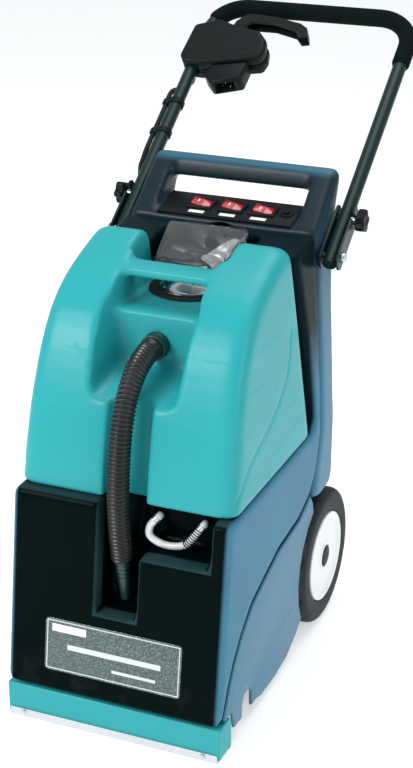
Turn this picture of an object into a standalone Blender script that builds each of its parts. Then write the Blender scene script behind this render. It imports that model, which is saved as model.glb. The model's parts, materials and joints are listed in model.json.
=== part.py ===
"""Upright carpet cleaner: a wheeled body with a lift-off recovery tank, a folding handle,
a driven brush and a vacuum shoe.  Metres, +Z up, +X to the right seen from the front,
+Y to the back.  The origin is on the floor, under the front glide of the vacuum shoe."""

import math

import bmesh
import bpy
from mathutils import Matrix, Vector

# ---- driving dimensions --------------------------------------------------------------
GAP = 0.0003
BODY_HALF = 0.147
TAPER_START = 0.300
TAPER_RATE = 0.0488
FRONT_FOOT_Y = -0.022
FRONT_FOOT_Z = 0.055
FRONT_LEAN = 0.145
DECK_Z = 0.3110
TANK_BASE_Z = 0.3115
WALL = 0.005
TANK_WALL = 0.004

WHEEL_Y = 0.367
WHEEL_R = 0.097
WHEEL_IN = 0.121
DISC_R = 0.0637
AXLE_R = 0.006

BRUSH_Y = 0.073
BRUSH_Z = 0.0325
BRUSH_R = 0.0315
MOTOR_Y = 0.166
MOTOR_Z = 0.078

PIVOT_Y = 0.351
PIVOT_Z = 0.546
HANDLE_TILT = math.radians(55.0)
HANDLE_X = 0.1505
HANDLE_R = 0.0095
HANDLE_LENGTH = 0.422
STUD_ALONG = 0.062
BEND_R = 0.052
GRIP_R = 0.0125

LIFT_SLOPE = -0.258
BRACKET_IN = 0.1372
BRACKET_OUT = 0.1638
PLATE = 0.003

ALONG = Vector((0.0, math.sin(HANDLE_TILT), math.cos(HANDLE_TILT)))
ABOVE = Vector((0.0, -math.cos(HANDLE_TILT), math.sin(HANDLE_TILT)))
ACROSS = Vector((1.0, 0.0, 0.0))
PIVOT = Vector((0.0, PIVOT_Y, PIVOT_Z))
GRIP_LINE = PIVOT + ALONG * HANDLE_LENGTH
BOX_DATUM = GRIP_LINE - ALONG * 0.069

YZ = Matrix(((0, 0, 1, 0), (1, 0, 0, 0), (0, 1, 0, 0), (0, 0, 0, 1)))


def front_y(z):
    """The front face's y at height z: a plane that leans back."""
    return FRONT_FOOT_Y + FRONT_LEAN * (z - FRONT_FOOT_Z)


# ---- scene helpers -------------------------------------------------------------------
def clear_scene():
    for obj in list(bpy.data.objects):
        bpy.data.objects.remove(obj, do_unlink=True)


def make_collection(name):
    found = bpy.data.collections.get(name) or bpy.data.collections.new(name)
    if found.name not in bpy.context.scene.collection.children:
        bpy.context.scene.collection.children.link(found)
    return found


clear_scene()
PARTS = make_collection("carpet_cleaner_machine")
CUTTERS = make_collection("cutters")


def material(name, colour, roughness, metallic=0.0, alpha=1.0):
    mat = bpy.data.materials.new(name)
    mat.use_nodes = True
    bsdf = mat.node_tree.nodes["Principled BSDF"]
    bsdf.inputs["Base Color"].default_value = (*colour, 1.0)
    bsdf.inputs["Roughness"].default_value = roughness
    bsdf.inputs["Metallic"].default_value = metallic
    bsdf.inputs["Alpha"].default_value = alpha
    return mat


TEAL = (0.03, 0.42, 0.46)
BLACK = (0.008, 0.020, 0.024)
SLATE = (0.020, 0.055, 0.075)
FINISHES = {
    "gloss_black": (BLACK, 0.25, 0.0),
    "slate": (SLATE, 0.42, 0.0),
    "teal": (TEAL, 0.35, 0.0),
    "steel": ((0.55, 0.56, 0.57), 0.32, 1.0),
    "zinc": ((0.62, 0.63, 0.64), 0.38, 1.0),
    "white": ((0.82, 0.83, 0.82), 0.40, 0.0),
    "rubber": ((0.018, 0.020, 0.020), 0.70, 0.0),
    "foam": ((0.012, 0.020, 0.018), 0.85, 0.0),
    "red": ((0.60, 0.015, 0.03), 0.25, 0.0),
    "clear": ((0.75, 0.84, 0.90), 0.06, 0.0),
    "bristle": ((0.05, 0.07, 0.09), 0.65, 0.0),
    "copper": ((0.60, 0.30, 0.15), 0.40, 1.0),
    "brass": ((0.65, 0.50, 0.22), 0.35, 1.0),
    "dark_green": ((0.010, 0.060, 0.050), 0.45, 0.0),
}


def place(obj, name, finish):
    """Names a finished piece, gives it its own material and files it with the parts."""
    obj.name = name
    obj.data.name = name
    obj.data.materials.clear()
    obj.data.materials.append(material(name + "_finish", *FINISHES[finish]))
    for coll in list(obj.users_collection):
        coll.objects.unlink(obj)
    PARTS.objects.link(obj)
    obj.data.shade_smooth()
    obj.data.set_sharp_from_angle(angle=math.radians(32))
    return obj


def set_origin(obj, point):
    """Moves an object's origin onto its joint without moving its surface."""
    shift = Vector(point) - obj.location
    obj.data.transform(Matrix.Translation(-shift))
    obj.location = Vector(point)


def from_bmesh(bm, name="piece"):
    mesh = bpy.data.meshes.new(name)
    bm.to_mesh(mesh)
    bm.free()
    obj = bpy.data.objects.new(name, mesh)
    CUTTERS.objects.link(obj)
    return obj


def box(low, high):
    low, high = Vector(low), Vector(high)
    size = high - low
    bm = bmesh.new()
    bmesh.ops.create_cube(bm, size=1.0)
    bmesh.ops.scale(bm, vec=size, verts=bm.verts)
    bmesh.ops.translate(bm, vec=(low + high) / 2, verts=bm.verts)
    return from_bmesh(bm)


def rod(start, end, radius, sides=24, end_radius=None):
    """A cylinder, or a cone, between two points."""
    start, end = Vector(start), Vector(end)
    axis = end - start
    bm = bmesh.new()
    turn = axis.to_track_quat("Z", "Y").to_matrix().to_4x4()
    bmesh.ops.create_cone(
        bm,
        cap_ends=True,
        segments=sides,
        radius1=radius,
        radius2=radius if end_radius is None else end_radius,
        depth=axis.length,
        matrix=Matrix.Translation((start + end) / 2) @ turn,
    )
    return from_bmesh(bm)


def ball(centre, radius, sides=16):
    bm = bmesh.new()
    bmesh.ops.create_uvsphere(
        bm, u_segments=sides, v_segments=sides // 2, radius=radius,
        matrix=Matrix.Translation(Vector(centre)),
    )
    return from_bmesh(bm)


def wedge(corners_low, corners_high):
    """A cube whose four lower and four upper corners are moved where they belong."""
    bm = bmesh.new()
    bmesh.ops.create_cube(bm, size=2.0)
    for vert in bm.verts:
        near = (vert.co.x > 0, vert.co.y > 0)
        half_x, y_front, y_back, z_front, z_back = corners_high if vert.co.z > 0 else corners_low
        half_front, half_back = half_x
        half = half_back if near[1] else half_front
        vert.co.x = half if near[0] else -half
        vert.co.z = z_back if near[1] else z_front
        vert.co.y = y_back if near[1] else y_front
    return from_bmesh(bm)


def to_mesh(curve_obj):
    """A curve object made into a welded mesh object in the same place."""
    bpy.context.view_layer.update()
    graph = bpy.context.evaluated_depsgraph_get()
    mesh = bpy.data.meshes.new_from_object(curve_obj.evaluated_get(graph))
    mesh.transform(curve_obj.matrix_world)
    bpy.data.objects.remove(curve_obj, do_unlink=True)
    bm = bmesh.new()
    bm.from_mesh(mesh)
    bmesh.ops.remove_doubles(bm, verts=bm.verts, dist=0.00001)
    bmesh.ops.dissolve_limit(bm, angle_limit=0.002, verts=bm.verts, edges=bm.edges)
    bmesh.ops.recalc_face_normals(bm, faces=bm.faces)
    bm.to_mesh(mesh)
    bm.free()
    obj = bpy.data.objects.new("piece", mesh)
    CUTTERS.objects.link(obj)
    return obj


def prism(points, low, high, frame=YZ):
    """A flat outline in the frame's own plane, extruded from low to high along its normal."""
    curve = bpy.data.curves.new("outline", "CURVE")
    curve.dimensions = "2D"
    curve.fill_mode = "BOTH"
    curve.extrude = (high - low) / 2
    spline = curve.splines.new("POLY")
    spline.points.add(len(points) - 1)
    for point, (u, v) in zip(spline.points, points):
        point.co = (u, v, 0.0, 1.0)
    spline.use_cyclic_u = True
    obj = bpy.data.objects.new("outline", curve)
    CUTTERS.objects.link(obj)
    obj.matrix_world = frame @ Matrix.Translation((0, 0, (low + high) / 2))
    return to_mesh(obj)


def tube(points, radius, resolution=2):
    """A round wire or hose through the points, with flat closed ends."""
    curve = bpy.data.curves.new("route", "CURVE")
    curve.dimensions = "3D"
    curve.bevel_depth = radius
    curve.bevel_resolution = resolution
    curve.use_fill_caps = True
    spline = curve.splines.new("POLY")
    spline.points.add(len(points) - 1)
    for point, place_at in zip(spline.points, points):
        point.co = (*place_at, 1.0)
    obj = bpy.data.objects.new("route", curve)
    CUTTERS.objects.link(obj)
    return to_mesh(obj)


def lathe(profile, centre, axis, steps=32):
    """A closed profile of (radius, height) pairs turned about an axis with a Screw modifier."""
    bm = bmesh.new()
    verts = [bm.verts.new((r, 0.0, h)) for r, h in profile]
    closed = min(r for r, h in profile) > 0.0001
    for first, second in zip(verts, verts[1:]):
        bm.edges.new((first, second))
    if closed:
        bm.edges.new((verts[-1], verts[0]))
    obj = from_bmesh(bm)
    screw = obj.modifiers.new("turn", "SCREW")
    screw.steps = steps
    screw.render_steps = steps
    screw.use_merge_vertices = True
    screw.merge_threshold = 0.00001
    screw.use_normal_calculate = True
    turn = Vector(axis).to_track_quat("Z", "Y").to_matrix().to_4x4()
    obj.matrix_world = Matrix.Translation(Vector(centre)) @ turn
    return settle(obj)


def settle(obj):
    """Applies an object's modifiers and its placement, and turns its faces outward."""
    bpy.context.view_layer.update()
    graph = bpy.context.evaluated_depsgraph_get()
    mesh = bpy.data.meshes.new_from_object(obj.evaluated_get(graph))
    mesh.transform(obj.matrix_world)
    bm = bmesh.new()
    bm.from_mesh(mesh)
    bmesh.ops.remove_doubles(bm, verts=bm.verts, dist=0.00001)
    bmesh.ops.recalc_face_normals(bm, faces=bm.faces)
    bm.to_mesh(mesh)
    bm.free()
    fresh = bpy.data.objects.new("piece", mesh)
    CUTTERS.objects.link(fresh)
    bpy.data.objects.remove(obj, do_unlink=True)
    return fresh


def cutter(obj):
    obj.hide_render = True
    obj.display_type = "WIRE"
    return obj


def carve(target, *tools, operation="DIFFERENCE", solver="EXACT"):
    """Boolean each tool into the target, as live modifiers."""
    for tool in tools:
        cutter(tool)
        cut = target.modifiers.new("carve", "BOOLEAN")
        cut.operation = operation
        cut.solver = solver
        cut.object = tool
    return target


def join_bodies(target, *tools, solver="EXACT"):
    return carve(target, *tools, operation="UNION", solver=solver)


def soften(obj, width, segments=2, angle=50):
    bevel = obj.modifiers.new("round", "BEVEL")
    bevel.width = width
    bevel.segments = segments
    bevel.limit_method = "ANGLE"
    bevel.angle_limit = math.radians(angle)
    return obj


def taper(obj):
    """Narrows a body's width in a straight line above the taper's start."""
    bm = bmesh.new()
    bm.from_mesh(obj.data)
    every = bm.verts[:] + bm.edges[:] + bm.faces[:]
    bmesh.ops.bisect_plane(bm, geom=every, plane_co=(0, 0, TAPER_START), plane_no=(0, 0, 1), dist=1e-6)
    for vert in bm.verts:
        if vert.co.z > TAPER_START:
            vert.co.x *= 1.0 - TAPER_RATE * (vert.co.z - TAPER_START) / BODY_HALF
    bm.to_mesh(obj.data)
    bm.free()
    return obj


def arc(centre, radius, start, end, steps):
    """Points along a circular arc, angles in degrees."""
    points = []
    for i in range(steps + 1):
        angle = math.radians(start + (end - start) * i / steps)
        points.append((centre[0] + radius * math.cos(angle), centre[1] + radius * math.sin(angle)))
    return points


def smooth_route(knots, spacing):
    """Evenly spaced points on a Catmull-Rom curve through the knots."""
    knots = [Vector(k) for k in knots]
    ends = [knots[0] * 2 - knots[1]] + knots + [knots[-1] * 2 - knots[-2]]
    fine = []
    for a, b, c, d in zip(ends, ends[1:], ends[2:], ends[3:]):
        for i in range(24):
            t = i / 24
            fine.append(0.5 * (2 * b + (c - a) * t + (2 * a - 5 * b + 4 * c - d) * t * t
                               + (3 * b - a - 3 * c + d) * t ** 3))
    fine.append(knots[-1])
    total = sum((q - p).length for p, q in zip(fine, fine[1:]))
    count = max(2, round(total / spacing))
    route, walked, goal = [fine[0]], 0.0, total / count
    for p, q in zip(fine, fine[1:]):
        step = (q - p).length
        while step > 0 and walked + step >= goal - 1e-9 and len(route) < count:
            t = (goal - walked) / step
            route.append(p.lerp(q, t))
            goal += total / count
        walked += step
    route.append(fine[-1])
    return route


def mirrored(maker):
    """The same piece made for the right (+1) and the left (-1) side."""
    return [maker(1), maker(-1)]


def basis(x_axis, y_axis, z_axis, origin):
    """A placement whose local axes are the three given directions."""
    rows = [(x_axis[i], y_axis[i], z_axis[i], origin[i]) for i in range(3)]
    return Matrix((*rows, (0, 0, 0, 1)))


HANDLE_PLANE = basis(ACROSS, ALONG, ABOVE, BOX_DATUM)
FRONT_UP = Vector((0.0, FRONT_LEAN, 1.0)).normalized()
FRONT_OUT = Vector((0.0, -1.0, FRONT_LEAN)).normalized()
PANEL_SLOPE = math.atan2(0.0135, 0.0645)
PANEL_BACK = Vector((0.0, math.cos(PANEL_SLOPE), math.sin(PANEL_SLOPE)))
PANEL_OUT = Vector((0.0, -math.sin(PANEL_SLOPE), math.cos(PANEL_SLOPE)))
PANEL_PLANE = basis(ACROSS, PANEL_BACK, PANEL_OUT, Vector((0.0, 0.3725, 0.5852)))
SWITCH_X = (-0.041, 0.003, 0.047)
ROCKER_N = 0.0030
RESET_X = 0.080
FILLER = (0.075, 0.190)


def on_handle(x, v, n=0.0):
    return BOX_DATUM + ACROSS * x + ALONG * v + ABOVE * n


def on_panel(x, v, n):
    return PANEL_PLANE @ Vector((x, v, n))


def framed_box(frame, low, high):
    """A box whose faces follow a tilted frame."""
    outline = [(low[0], low[1]), (high[0], low[1]), (high[0], high[1]), (low[0], high[1])]
    return prism(outline, low[2], high[2], frame)


# ---- body shells ---------------------------------------------------------------------
SEAM = [
    (-0.004, 0.055), (0.012, 0.088), (0.029, 0.114), (0.055, 0.142), (0.089, 0.167),
    (0.131, 0.181), (0.184, 0.197), (0.260, 0.204), (0.303, 0.221), (0.326, 0.248),
    (0.342, 0.301), (0.345, 0.373), (0.344, 0.445), (0.339, 0.510),
]
DUCT_R = 0.0115
NOTCH_Z = 0.250
BARB_Z = 0.290
HOSE_ENDS_X = (0.038, 0.098)
DUCT_ROUTE = [
    (0.1285, 0.0000, 0.0478), (0.1285, 0.0040, 0.0700), (0.1285, 0.0300, 0.1120),
    (0.1285, 0.0800, 0.1560), (0.1285, 0.1600, 0.1900), (0.1275, 0.2350, 0.2160),
    (0.1215, 0.2750, 0.2280), (0.1060, 0.3000, 0.2330), (0.1000, 0.3200, 0.2330), (0.1000, 0.3480, 0.2330),
    (0.0950, 0.3690, 0.2480), (0.0600, 0.3715, 0.3300), (0.0140, 0.3715, 0.4500),
    (0.0000, 0.3700, 0.5280), (0.0000, 0.3675, 0.5470), (0.0000, 0.3460, 0.5600), (0.0000, 0.3300, 0.5600),
    (0.0000, 0.3148, 0.5600),
]


def body_wall_y(z):
    """The sloping wall behind the tank, parallel to the way the tank lifts."""
    return 0.331 + LIFT_SLOPE * (z - 0.303)


def hose_channel(grow):
    low, high = 0.166 - grow, 0.330
    points = [
        (-0.06, low), (front_y(low) + 0.046 + grow, low),
        (front_y(high) + 0.050 + grow, high), (-0.06, high),
    ]
    return soften(prism(points, -0.028 - grow, 0.028 + grow), 0.008, 2)


def front_notch(grow):
    low, high = NOTCH_Z - grow, 0.330
    points = [
        (-0.06, low), (front_y(low) + 0.058 + grow, low),
        (front_y(high) + 0.050 + grow, high), (-0.06, high),
    ]
    return soften(prism(points, 0.010, 0.122 + grow), 0.010, 2)


def duct_hole(start, end, margin=0.0010):
    return rod(start, end, DUCT_R + margin, 20)


def make_main_body():
    top = [
        (0.339, 0.5750), (0.3200, 0.5750), (0.262, 0.5690), (body_wall_y(0.560), 0.560),
        (body_wall_y(0.345), 0.345), (0.3225, 0.3265), (0.3085, DECK_Z), (front_y(DECK_Z), DECK_Z),
        (front_y(0.048), 0.048),
    ]
    shell = soften(taper(prism(SEAM + top, -BODY_HALF, BODY_HALF)), 0.010, 2, 60)
    inside = prism(
        [
            (front_y(-0.02) + WALL, -0.02), (front_y(0.255) + WALL, 0.255), (front_y(DECK_Z) + 0.018, DECK_Z - WALL),
            (0.285, DECK_Z - WALL), (0.318, 0.262), (0.318, -0.02),
        ],
        -BODY_HALF + WALL, BODY_HALF - WALL,
    )
    carve(inside, hose_channel(WALL), front_notch(WALL))
    pocket = prism([(0.20, 0.440), (0.2990, 0.440), (0.3145, 0.470), (0.3145, 0.62), (0.20, 0.62)], -0.066, 0.066)
    outlet = duct_hole((0, 0.30, 0.560), (0, 0.36, 0.560))
    crossing = duct_hole((0.100, 0.300, 0.233), (0.100, 0.345, 0.233), 0.003)
    barbs = [rod((x, 0.0543, BARB_Z), (x, 0.0800, BARB_Z), 0.0042, 12) for x in HOSE_ENDS_X]
    filler = rod((*FILLER, DECK_Z - 0.010), (*FILLER, DECK_Z + 0.010), 0.0210, 24)
    carve(shell, hose_channel(0), front_notch(0), inside, pocket, outlet, crossing, filler)
    place(join_bodies(shell, *barbs), "main_body", "gloss_black")


def skirt_outline():
    gap = 0.0012
    top = [(y + gap, z - gap) for y, z in SEAM[:9]]
    well = arc((WHEEL_Y, WHEEL_R), 0.104, 118, 210, 6)
    bottom = [
        (0.254, 0.030), (0.219, 0.015), (0.173, 0.011), (0.125, 0.012), (0.103, 0.018), (0.089, 0.018),
        (0.089, 0.040), (0.081, 0.050), (0.065, 0.050), (0.057, 0.040), (0.057, 0.020), (0.030, 0.021),
        (0.022, 0.0495), (-0.001, 0.0495),
    ]
    return top + [(0.3135, 0.2065)] + well + bottom


def make_skirt(side):
    inner, outer = BODY_HALF - 0.0045, BODY_HALF
    low, high = (inner, outer) if side > 0 else (-outer, -inner)
    name = "skirt_right" if side > 0 else "skirt_left"
    place(soften(prism(skirt_outline(), low, high), 0.0015, 1, 60), name, "slate")


def switch_holes(margin):
    holes = [
        framed_box(PANEL_PLANE, (x - 0.0165 - margin, -0.0110 - margin, -0.030),
                   (x + 0.0165 + margin, 0.0110 + margin, 0.010))
        for x in SWITCH_X
    ]
    return holes + [rod(on_panel(RESET_X, 0, -0.03), on_panel(RESET_X, 0, 0.01), 0.0048 + margin, 16)]


def make_rear_housing():
    outline = [
        (0.3190, 0.2075), (0.3285, 0.2460), (0.3440, 0.3000), (0.3470, 0.3730), (0.3460, 0.4450),
        (0.3410, 0.5100), (0.3405, 0.5770), (0.4200, 0.6410), (0.4380, 0.6400), (0.4420, 0.6250),
        (0.4250, 0.5950), (0.4050, 0.5500), (0.3990, 0.4750), (0.3980, 0.3250), (0.3960, 0.2170),
        (0.3880, 0.2010), (0.3450, 0.1985),
    ]
    shell = soften(taper(prism(outline, -BODY_HALF, BODY_HALF)), 0.008, 2, 60)
    inside = prism(
        [
            (0.3520, 0.1800), (0.3520, 0.5100), (0.3475, 0.5680), (0.4020, 0.5760), (0.3940, 0.4750),
            (0.3930, 0.3250), (0.3880, 0.1800),
        ],
        -0.128, 0.128,
    )
    window = soften(prism(
        [
            (0.3000, 0.5700), (0.3405, 0.5785), (0.4010, 0.5905), (0.4060, 0.5840), (0.4700, 0.5620), (0.4700, 0.6120),
            (0.4060, 0.6120), (0.4120, 0.6350), (0.4050, 0.6900), (0.3000, 0.6900),
        ],
        -0.100, 0.100,
    ), 0.004, 1, 60)
    outlet = duct_hole((0, 0.33, 0.560), (0, 0.36, 0.560), 0.0045)
    crossing = duct_hole((0.100, 0.315, 0.233), (0.100, 0.360, 0.233), 0.003)
    exhaust = box((-0.055, 0.38, 0.255), (0.055, 0.42, 0.335))
    carve(shell, inside, window, outlet, crossing, exhaust, *switch_holes(0.0))
    place(shell, "rear_housing", "slate")


def make_exhaust_grille():
    plate = soften(box((-0.062, 0.3985, 0.248), (0.062, 0.4010, 0.342)), 0.001, 1)
    slots = [box((-0.050, 0.39, z), (0.050, 0.41, z + 0.0045)) for z in
             [0.259 + 0.0090 * i for i in range(8)]]
    place(carve(plate, *slots), "exhaust_grille", "rubber")


def make_control_panel():
    """The panel with its three switch frames, each around a well for its rocker."""
    panel = framed_box(PANEL_PLANE, (-0.0950, -0.0295, GAP), (0.0950, 0.0285, 0.0025))
    for x in SWITCH_X:
        rim = framed_box(PANEL_PLANE, (x - 0.0185, -0.0130, 0.0012), (x + 0.0185, 0.0130, 0.0060))
        well = framed_box(PANEL_PLANE, (x - 0.0162, -0.0107, -0.0180), (x + 0.0162, 0.0107, 0.0040))
        join_bodies(panel, soften(rim, 0.001, 1), well)
    for x in SWITCH_X:
        hole = framed_box(PANEL_PLANE, (x - 0.0146, -0.0091, -0.0150), (x + 0.0146, 0.0091, 0.0200))
        carve(panel, hole)
    collar = rod(on_panel(RESET_X, 0, 0.0012), on_panel(RESET_X, 0, 0.0052), 0.0085, 20)
    button_way = rod(on_panel(RESET_X, 0, -0.03), on_panel(RESET_X, 0, 0.02), 0.0048, 16)
    place(carve(join_bodies(panel, collar), button_way), "control_panel", "rubber")


def make_rockers():
    for name, x in zip(("rocker_left", "rocker_middle", "rocker_right"), SWITCH_X):
        plane = basis(ACROSS, PANEL_OUT, -PANEL_BACK, on_panel(x, 0, ROCKER_N))
        belly = [(0.0136 * math.cos(a), 0.0136 * math.sin(a)) for a in
                 [math.radians(180 + 20 * i) for i in range(10)]]
        crown = [(0.0130, 0.0012), (0.0010, 0.0032), (-0.0118, 0.0066)]
        piece = prism(belly + crown, -0.0086, 0.0086, plane)
        set_origin(piece, on_panel(x, 0, ROCKER_N))
        place(piece, name, "red")


def make_reset_button():
    piece = rod(on_panel(RESET_X, 0, -0.010), on_panel(RESET_X, 0, 0.0085), 0.0043, 20)
    place(piece, "reset_button", "rubber")


def make_label_plate():
    plane = basis(ACROSS, FRONT_UP, FRONT_OUT, Vector((0.0, front_y(0.115), 0.115)))
    outline = (
        arc((0.0885, 0.0305), 0.005, 0, 90, 3) + arc((-0.0885, 0.0305), 0.005, 90, 180, 3)
        + arc((-0.0885, -0.0305), 0.005, 180, 270, 3) + arc((0.0885, -0.0305), 0.005, 270, 360, 3)
    )
    place(prism(outline, GAP, 0.0013, plane), "label_plate", "dark_green")


# ---- vacuum shoe ---------------------------------------------------------------------
SHOE_HALF = 0.1475
SHOE_FRONT = -0.0200
LIP_FRONT = -0.0218
LIP_SCREW_X = 0.125


def lip_screw_holes(radius):
    return [rod((s * LIP_SCREW_X, -0.05, 0.0072), (s * LIP_SCREW_X, -0.013, 0.0072), radius, 12) for s in (1, -1)]


def make_vac_shoe():
    outline = [
        (SHOE_FRONT, 0.0032), (SHOE_FRONT, 0.0470), (0.0140, 0.0470), (0.0190, 0.0400), (0.0190, 0.0012),
        (0.0110, 0.0012), (0.0100, 0.0032),
    ]
    shell = soften(prism(outline, -SHOE_HALF, SHOE_HALF), 0.002, 1, 60)
    mouth = box((-0.138, 0.0045, -0.01), (0.138, 0.0092, 0.014))
    chamber = box((-0.1405, -0.0120, 0.0135), (0.1405, 0.0125, 0.0400))
    outlet = duct_hole((0.1285, 0.0, 0.030), (0.1285, 0.0, 0.060))
    place(carve(shell, join_bodies(chamber, mouth), outlet, *lip_screw_holes(0.0018)), "vac_shoe", "teal")


def make_shoe_lip():
    outline = [
        (LIP_FRONT, 0.0), (LIP_FRONT, 0.0115), (SHOE_FRONT - GAP, 0.0115), (SHOE_FRONT - GAP, 0.0029),
        (0.0035, 0.0029), (0.0035, 0.0),
    ]
    place(carve(prism(outline, -0.1445, 0.1445), *lip_screw_holes(0.0018)), "shoe_lip", "steel")


def make_shoe_screw(side):
    profile = [(0.0, 0.0), (0.0014, 0.0), (0.0014, 0.0082), (0.0032, 0.0082), (0.0026, 0.0100), (0.0, 0.0102)]
    screw = lathe(profile, (side * LIP_SCREW_X, LIP_FRONT + 0.0079, 0.0072), (0, -1, 0), 12)
    place(screw, "shoe_screw_right" if side > 0 else "shoe_screw_left", "zinc")


# ---- chassis, wheels -----------------------------------------------------------------
def make_chassis_tray():
    tray = box((-0.114, 0.128, 0.0400), (0.114, 0.392, 0.1960))
    inside = box((-0.111, 0.131, 0.0435), (0.111, 0.389, 0.21))
    axle_way = rod((-0.2, WHEEL_Y, WHEEL_R), (0.2, WHEEL_Y, WHEEL_R), AXLE_R + GAP, 24)
    shaft_way = rod((-0.13, MOTOR_Y, MOTOR_Z), (-0.10, MOTOR_Y, MOTOR_Z), 0.0060, 16)
    place(carve(tray, inside, axle_way, shaft_way), "chassis_tray", "steel")


def make_axle():
    """The axle with its two pressed end caps."""
    shaft = rod((-0.1500, WHEEL_Y, WHEEL_R), (0.1500, WHEEL_Y, WHEEL_R), AXLE_R, 24)
    caps = [rod((s * 0.1460, WHEEL_Y, WHEEL_R), (s * 0.1493, WHEEL_Y, WHEEL_R), 0.0148, 24) for s in (1, -1)]
    place(join_bodies(shaft, *caps), "axle", "steel")


def make_wheel(side):
    suffix = "right" if side > 0 else "left"
    bore = AXLE_R + 0.0006
    disc = [
        (bore, 0.0225), (0.0158, 0.0225), (0.0158, 0.0266), (0.0190, 0.0266), (0.0215, 0.0244),
        (0.0540, 0.0244), (0.0585, 0.0275), (DISC_R, 0.0275), (DISC_R, 0.0040), (0.0600, 0.0010), (bore, 0.0010),
    ]
    tread = [
        (DISC_R + GAP, 0.0275), (0.0860, 0.0295), (0.0940, 0.0262), (WHEEL_R, 0.0200), (WHEEL_R, 0.0100),
        (0.0940, 0.0038), (0.0860, 0.0005), (DISC_R + GAP, 0.0030),
    ]
    for name, profile, finish in (("wheel_", disc, "white"), ("tyre_", tread, "rubber")):
        piece = lathe(profile, (side * 0.1230 if name == "wheel_" else side * WHEEL_IN, WHEEL_Y, WHEEL_R),
                      (side, 0, 0), 28)
        set_origin(piece, (0, WHEEL_Y, WHEEL_R))
        place(piece, name + suffix, finish)


# ---- brush drive ---------------------------------------------------------------------
PULLEY_R = 0.0150
MOTOR_PULLEY_R = 0.0095
BELT_IN, BELT_OUT = -0.1315, -0.1245


def make_brush_housing():
    outline = [(0.036, 0.0130), (0.036, 0.052), (0.052, 0.0715), (0.094, 0.0715), (0.110, 0.052), (0.110, 0.0130)]
    shell = prism(outline, -0.1240, 0.1240)
    drum = rod((-0.1175, BRUSH_Y, BRUSH_Z), (0.1175, BRUSH_Y, BRUSH_Z), 0.0350, 24)
    below = box((-0.1175, BRUSH_Y - 0.0335, -0.01), (0.1175, BRUSH_Y + 0.0335, 0.0300))
    seats = rod((-0.2, BRUSH_Y, BRUSH_Z), (0.2, BRUSH_Y, BRUSH_Z), 0.0090, 20)
    place(carve(shell, drum, below, seats), "brush_housing", "rubber")


def make_brush():
    core = lathe(
        [
            (0.0, 0.1230), (0.0048, 0.1230), (0.0048, 0.1155), (0.0120, 0.1155), (0.0120, -0.1155),
            (0.0048, -0.1155), (0.0048, BELT_OUT), (PULLEY_R, BELT_OUT), (PULLEY_R, BELT_IN), (0.0, BELT_IN),
        ],
        (0, BRUSH_Y, BRUSH_Z), (1, 0, 0), 16,
    )
    set_origin(core, (0, BRUSH_Y, BRUSH_Z))
    place(core, "brush_core", "white")
    tips = 36
    outline = []
    for i in range(tips):
        radius = BRUSH_R - 0.001 if i % 2 == 0 else 0.0225
        angle = 2 * math.pi * i / tips
        outline.append((BRUSH_Y + radius * math.cos(angle), BRUSH_Z + radius * math.sin(angle)))
    tufts = prism(outline, -0.1140, 0.1140)
    carve(tufts, rod((-0.2, BRUSH_Y, BRUSH_Z), (0.2, BRUSH_Y, BRUSH_Z), 0.0120 + GAP, 24))
    place(tufts, "brush_bristles", "bristle")


def make_brush_bearing(side):
    profile = [(0.0051, 0.0057), (0.0087, 0.0057), (0.0087, 0.0), (0.0051, 0.0)]
    ring = lathe(profile, (side * 0.1180, BRUSH_Y, BRUSH_Z), (side, 0, 0), 20)
    place(ring, "brush_bearing_right" if side > 0 else "brush_bearing_left", "brass")


def make_brush_motor():
    can = soften(rod((-0.1050, MOTOR_Y, MOTOR_Z), (0.0180, MOTOR_Y, MOTOR_Z), 0.0290, 28), 0.003, 1)
    shaft_hole = rod((-0.12, MOTOR_Y, MOTOR_Z), (-0.090, MOTOR_Y, MOTOR_Z), 0.0036, 12)
    core_space = rod((-0.0850, MOTOR_Y, MOTOR_Z), (0.05, MOTOR_Y, MOTOR_Z), 0.0230, 20)
    place(carve(can, shaft_hole, core_space), "brush_motor", "steel")


def make_motor_pulley():
    piece = lathe(
        [
            (0.0, -0.0930), (0.0030, -0.0930), (0.0030, BELT_OUT), (MOTOR_PULLEY_R, BELT_OUT),
            (MOTOR_PULLEY_R, BELT_IN), (0.0, BELT_IN),
        ],
        (0, MOTOR_Y, MOTOR_Z), (1, 0, 0), 20,
    )
    set_origin(piece, (0, MOTOR_Y, MOTOR_Z))
    place(piece, "motor_pulley", "zinc")


def belt_loop(extra):
    """The outline around both pulleys, a set distance outside them."""
    dy, dz = MOTOR_Y - BRUSH_Y, MOTOR_Z - BRUSH_Z
    span = math.hypot(dy, dz)
    heading = math.degrees(math.atan2(dz, dy))
    lean = math.degrees(math.asin((PULLEY_R - MOTOR_PULLEY_R) / span))
    big = arc((BRUSH_Y, BRUSH_Z), PULLEY_R + extra, heading + 90 - lean, heading + 270 + lean, 12)
    small = arc((MOTOR_Y, MOTOR_Z), MOTOR_PULLEY_R + extra, heading - 90 + lean, heading + 90 - lean, 9)
    return big + small


def make_drive_belt():
    loop = prism(belt_loop(0.0025), BELT_IN + 0.0005, BELT_OUT - 0.0005)
    hole = prism(belt_loop(0.0006), BELT_IN - 0.01, BELT_OUT + 0.01)
    place(carve(loop, hole), "drive_belt", "rubber")


# ---- vacuum, water -------------------------------------------------------------------
VAC_Y = 0.280


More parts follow.
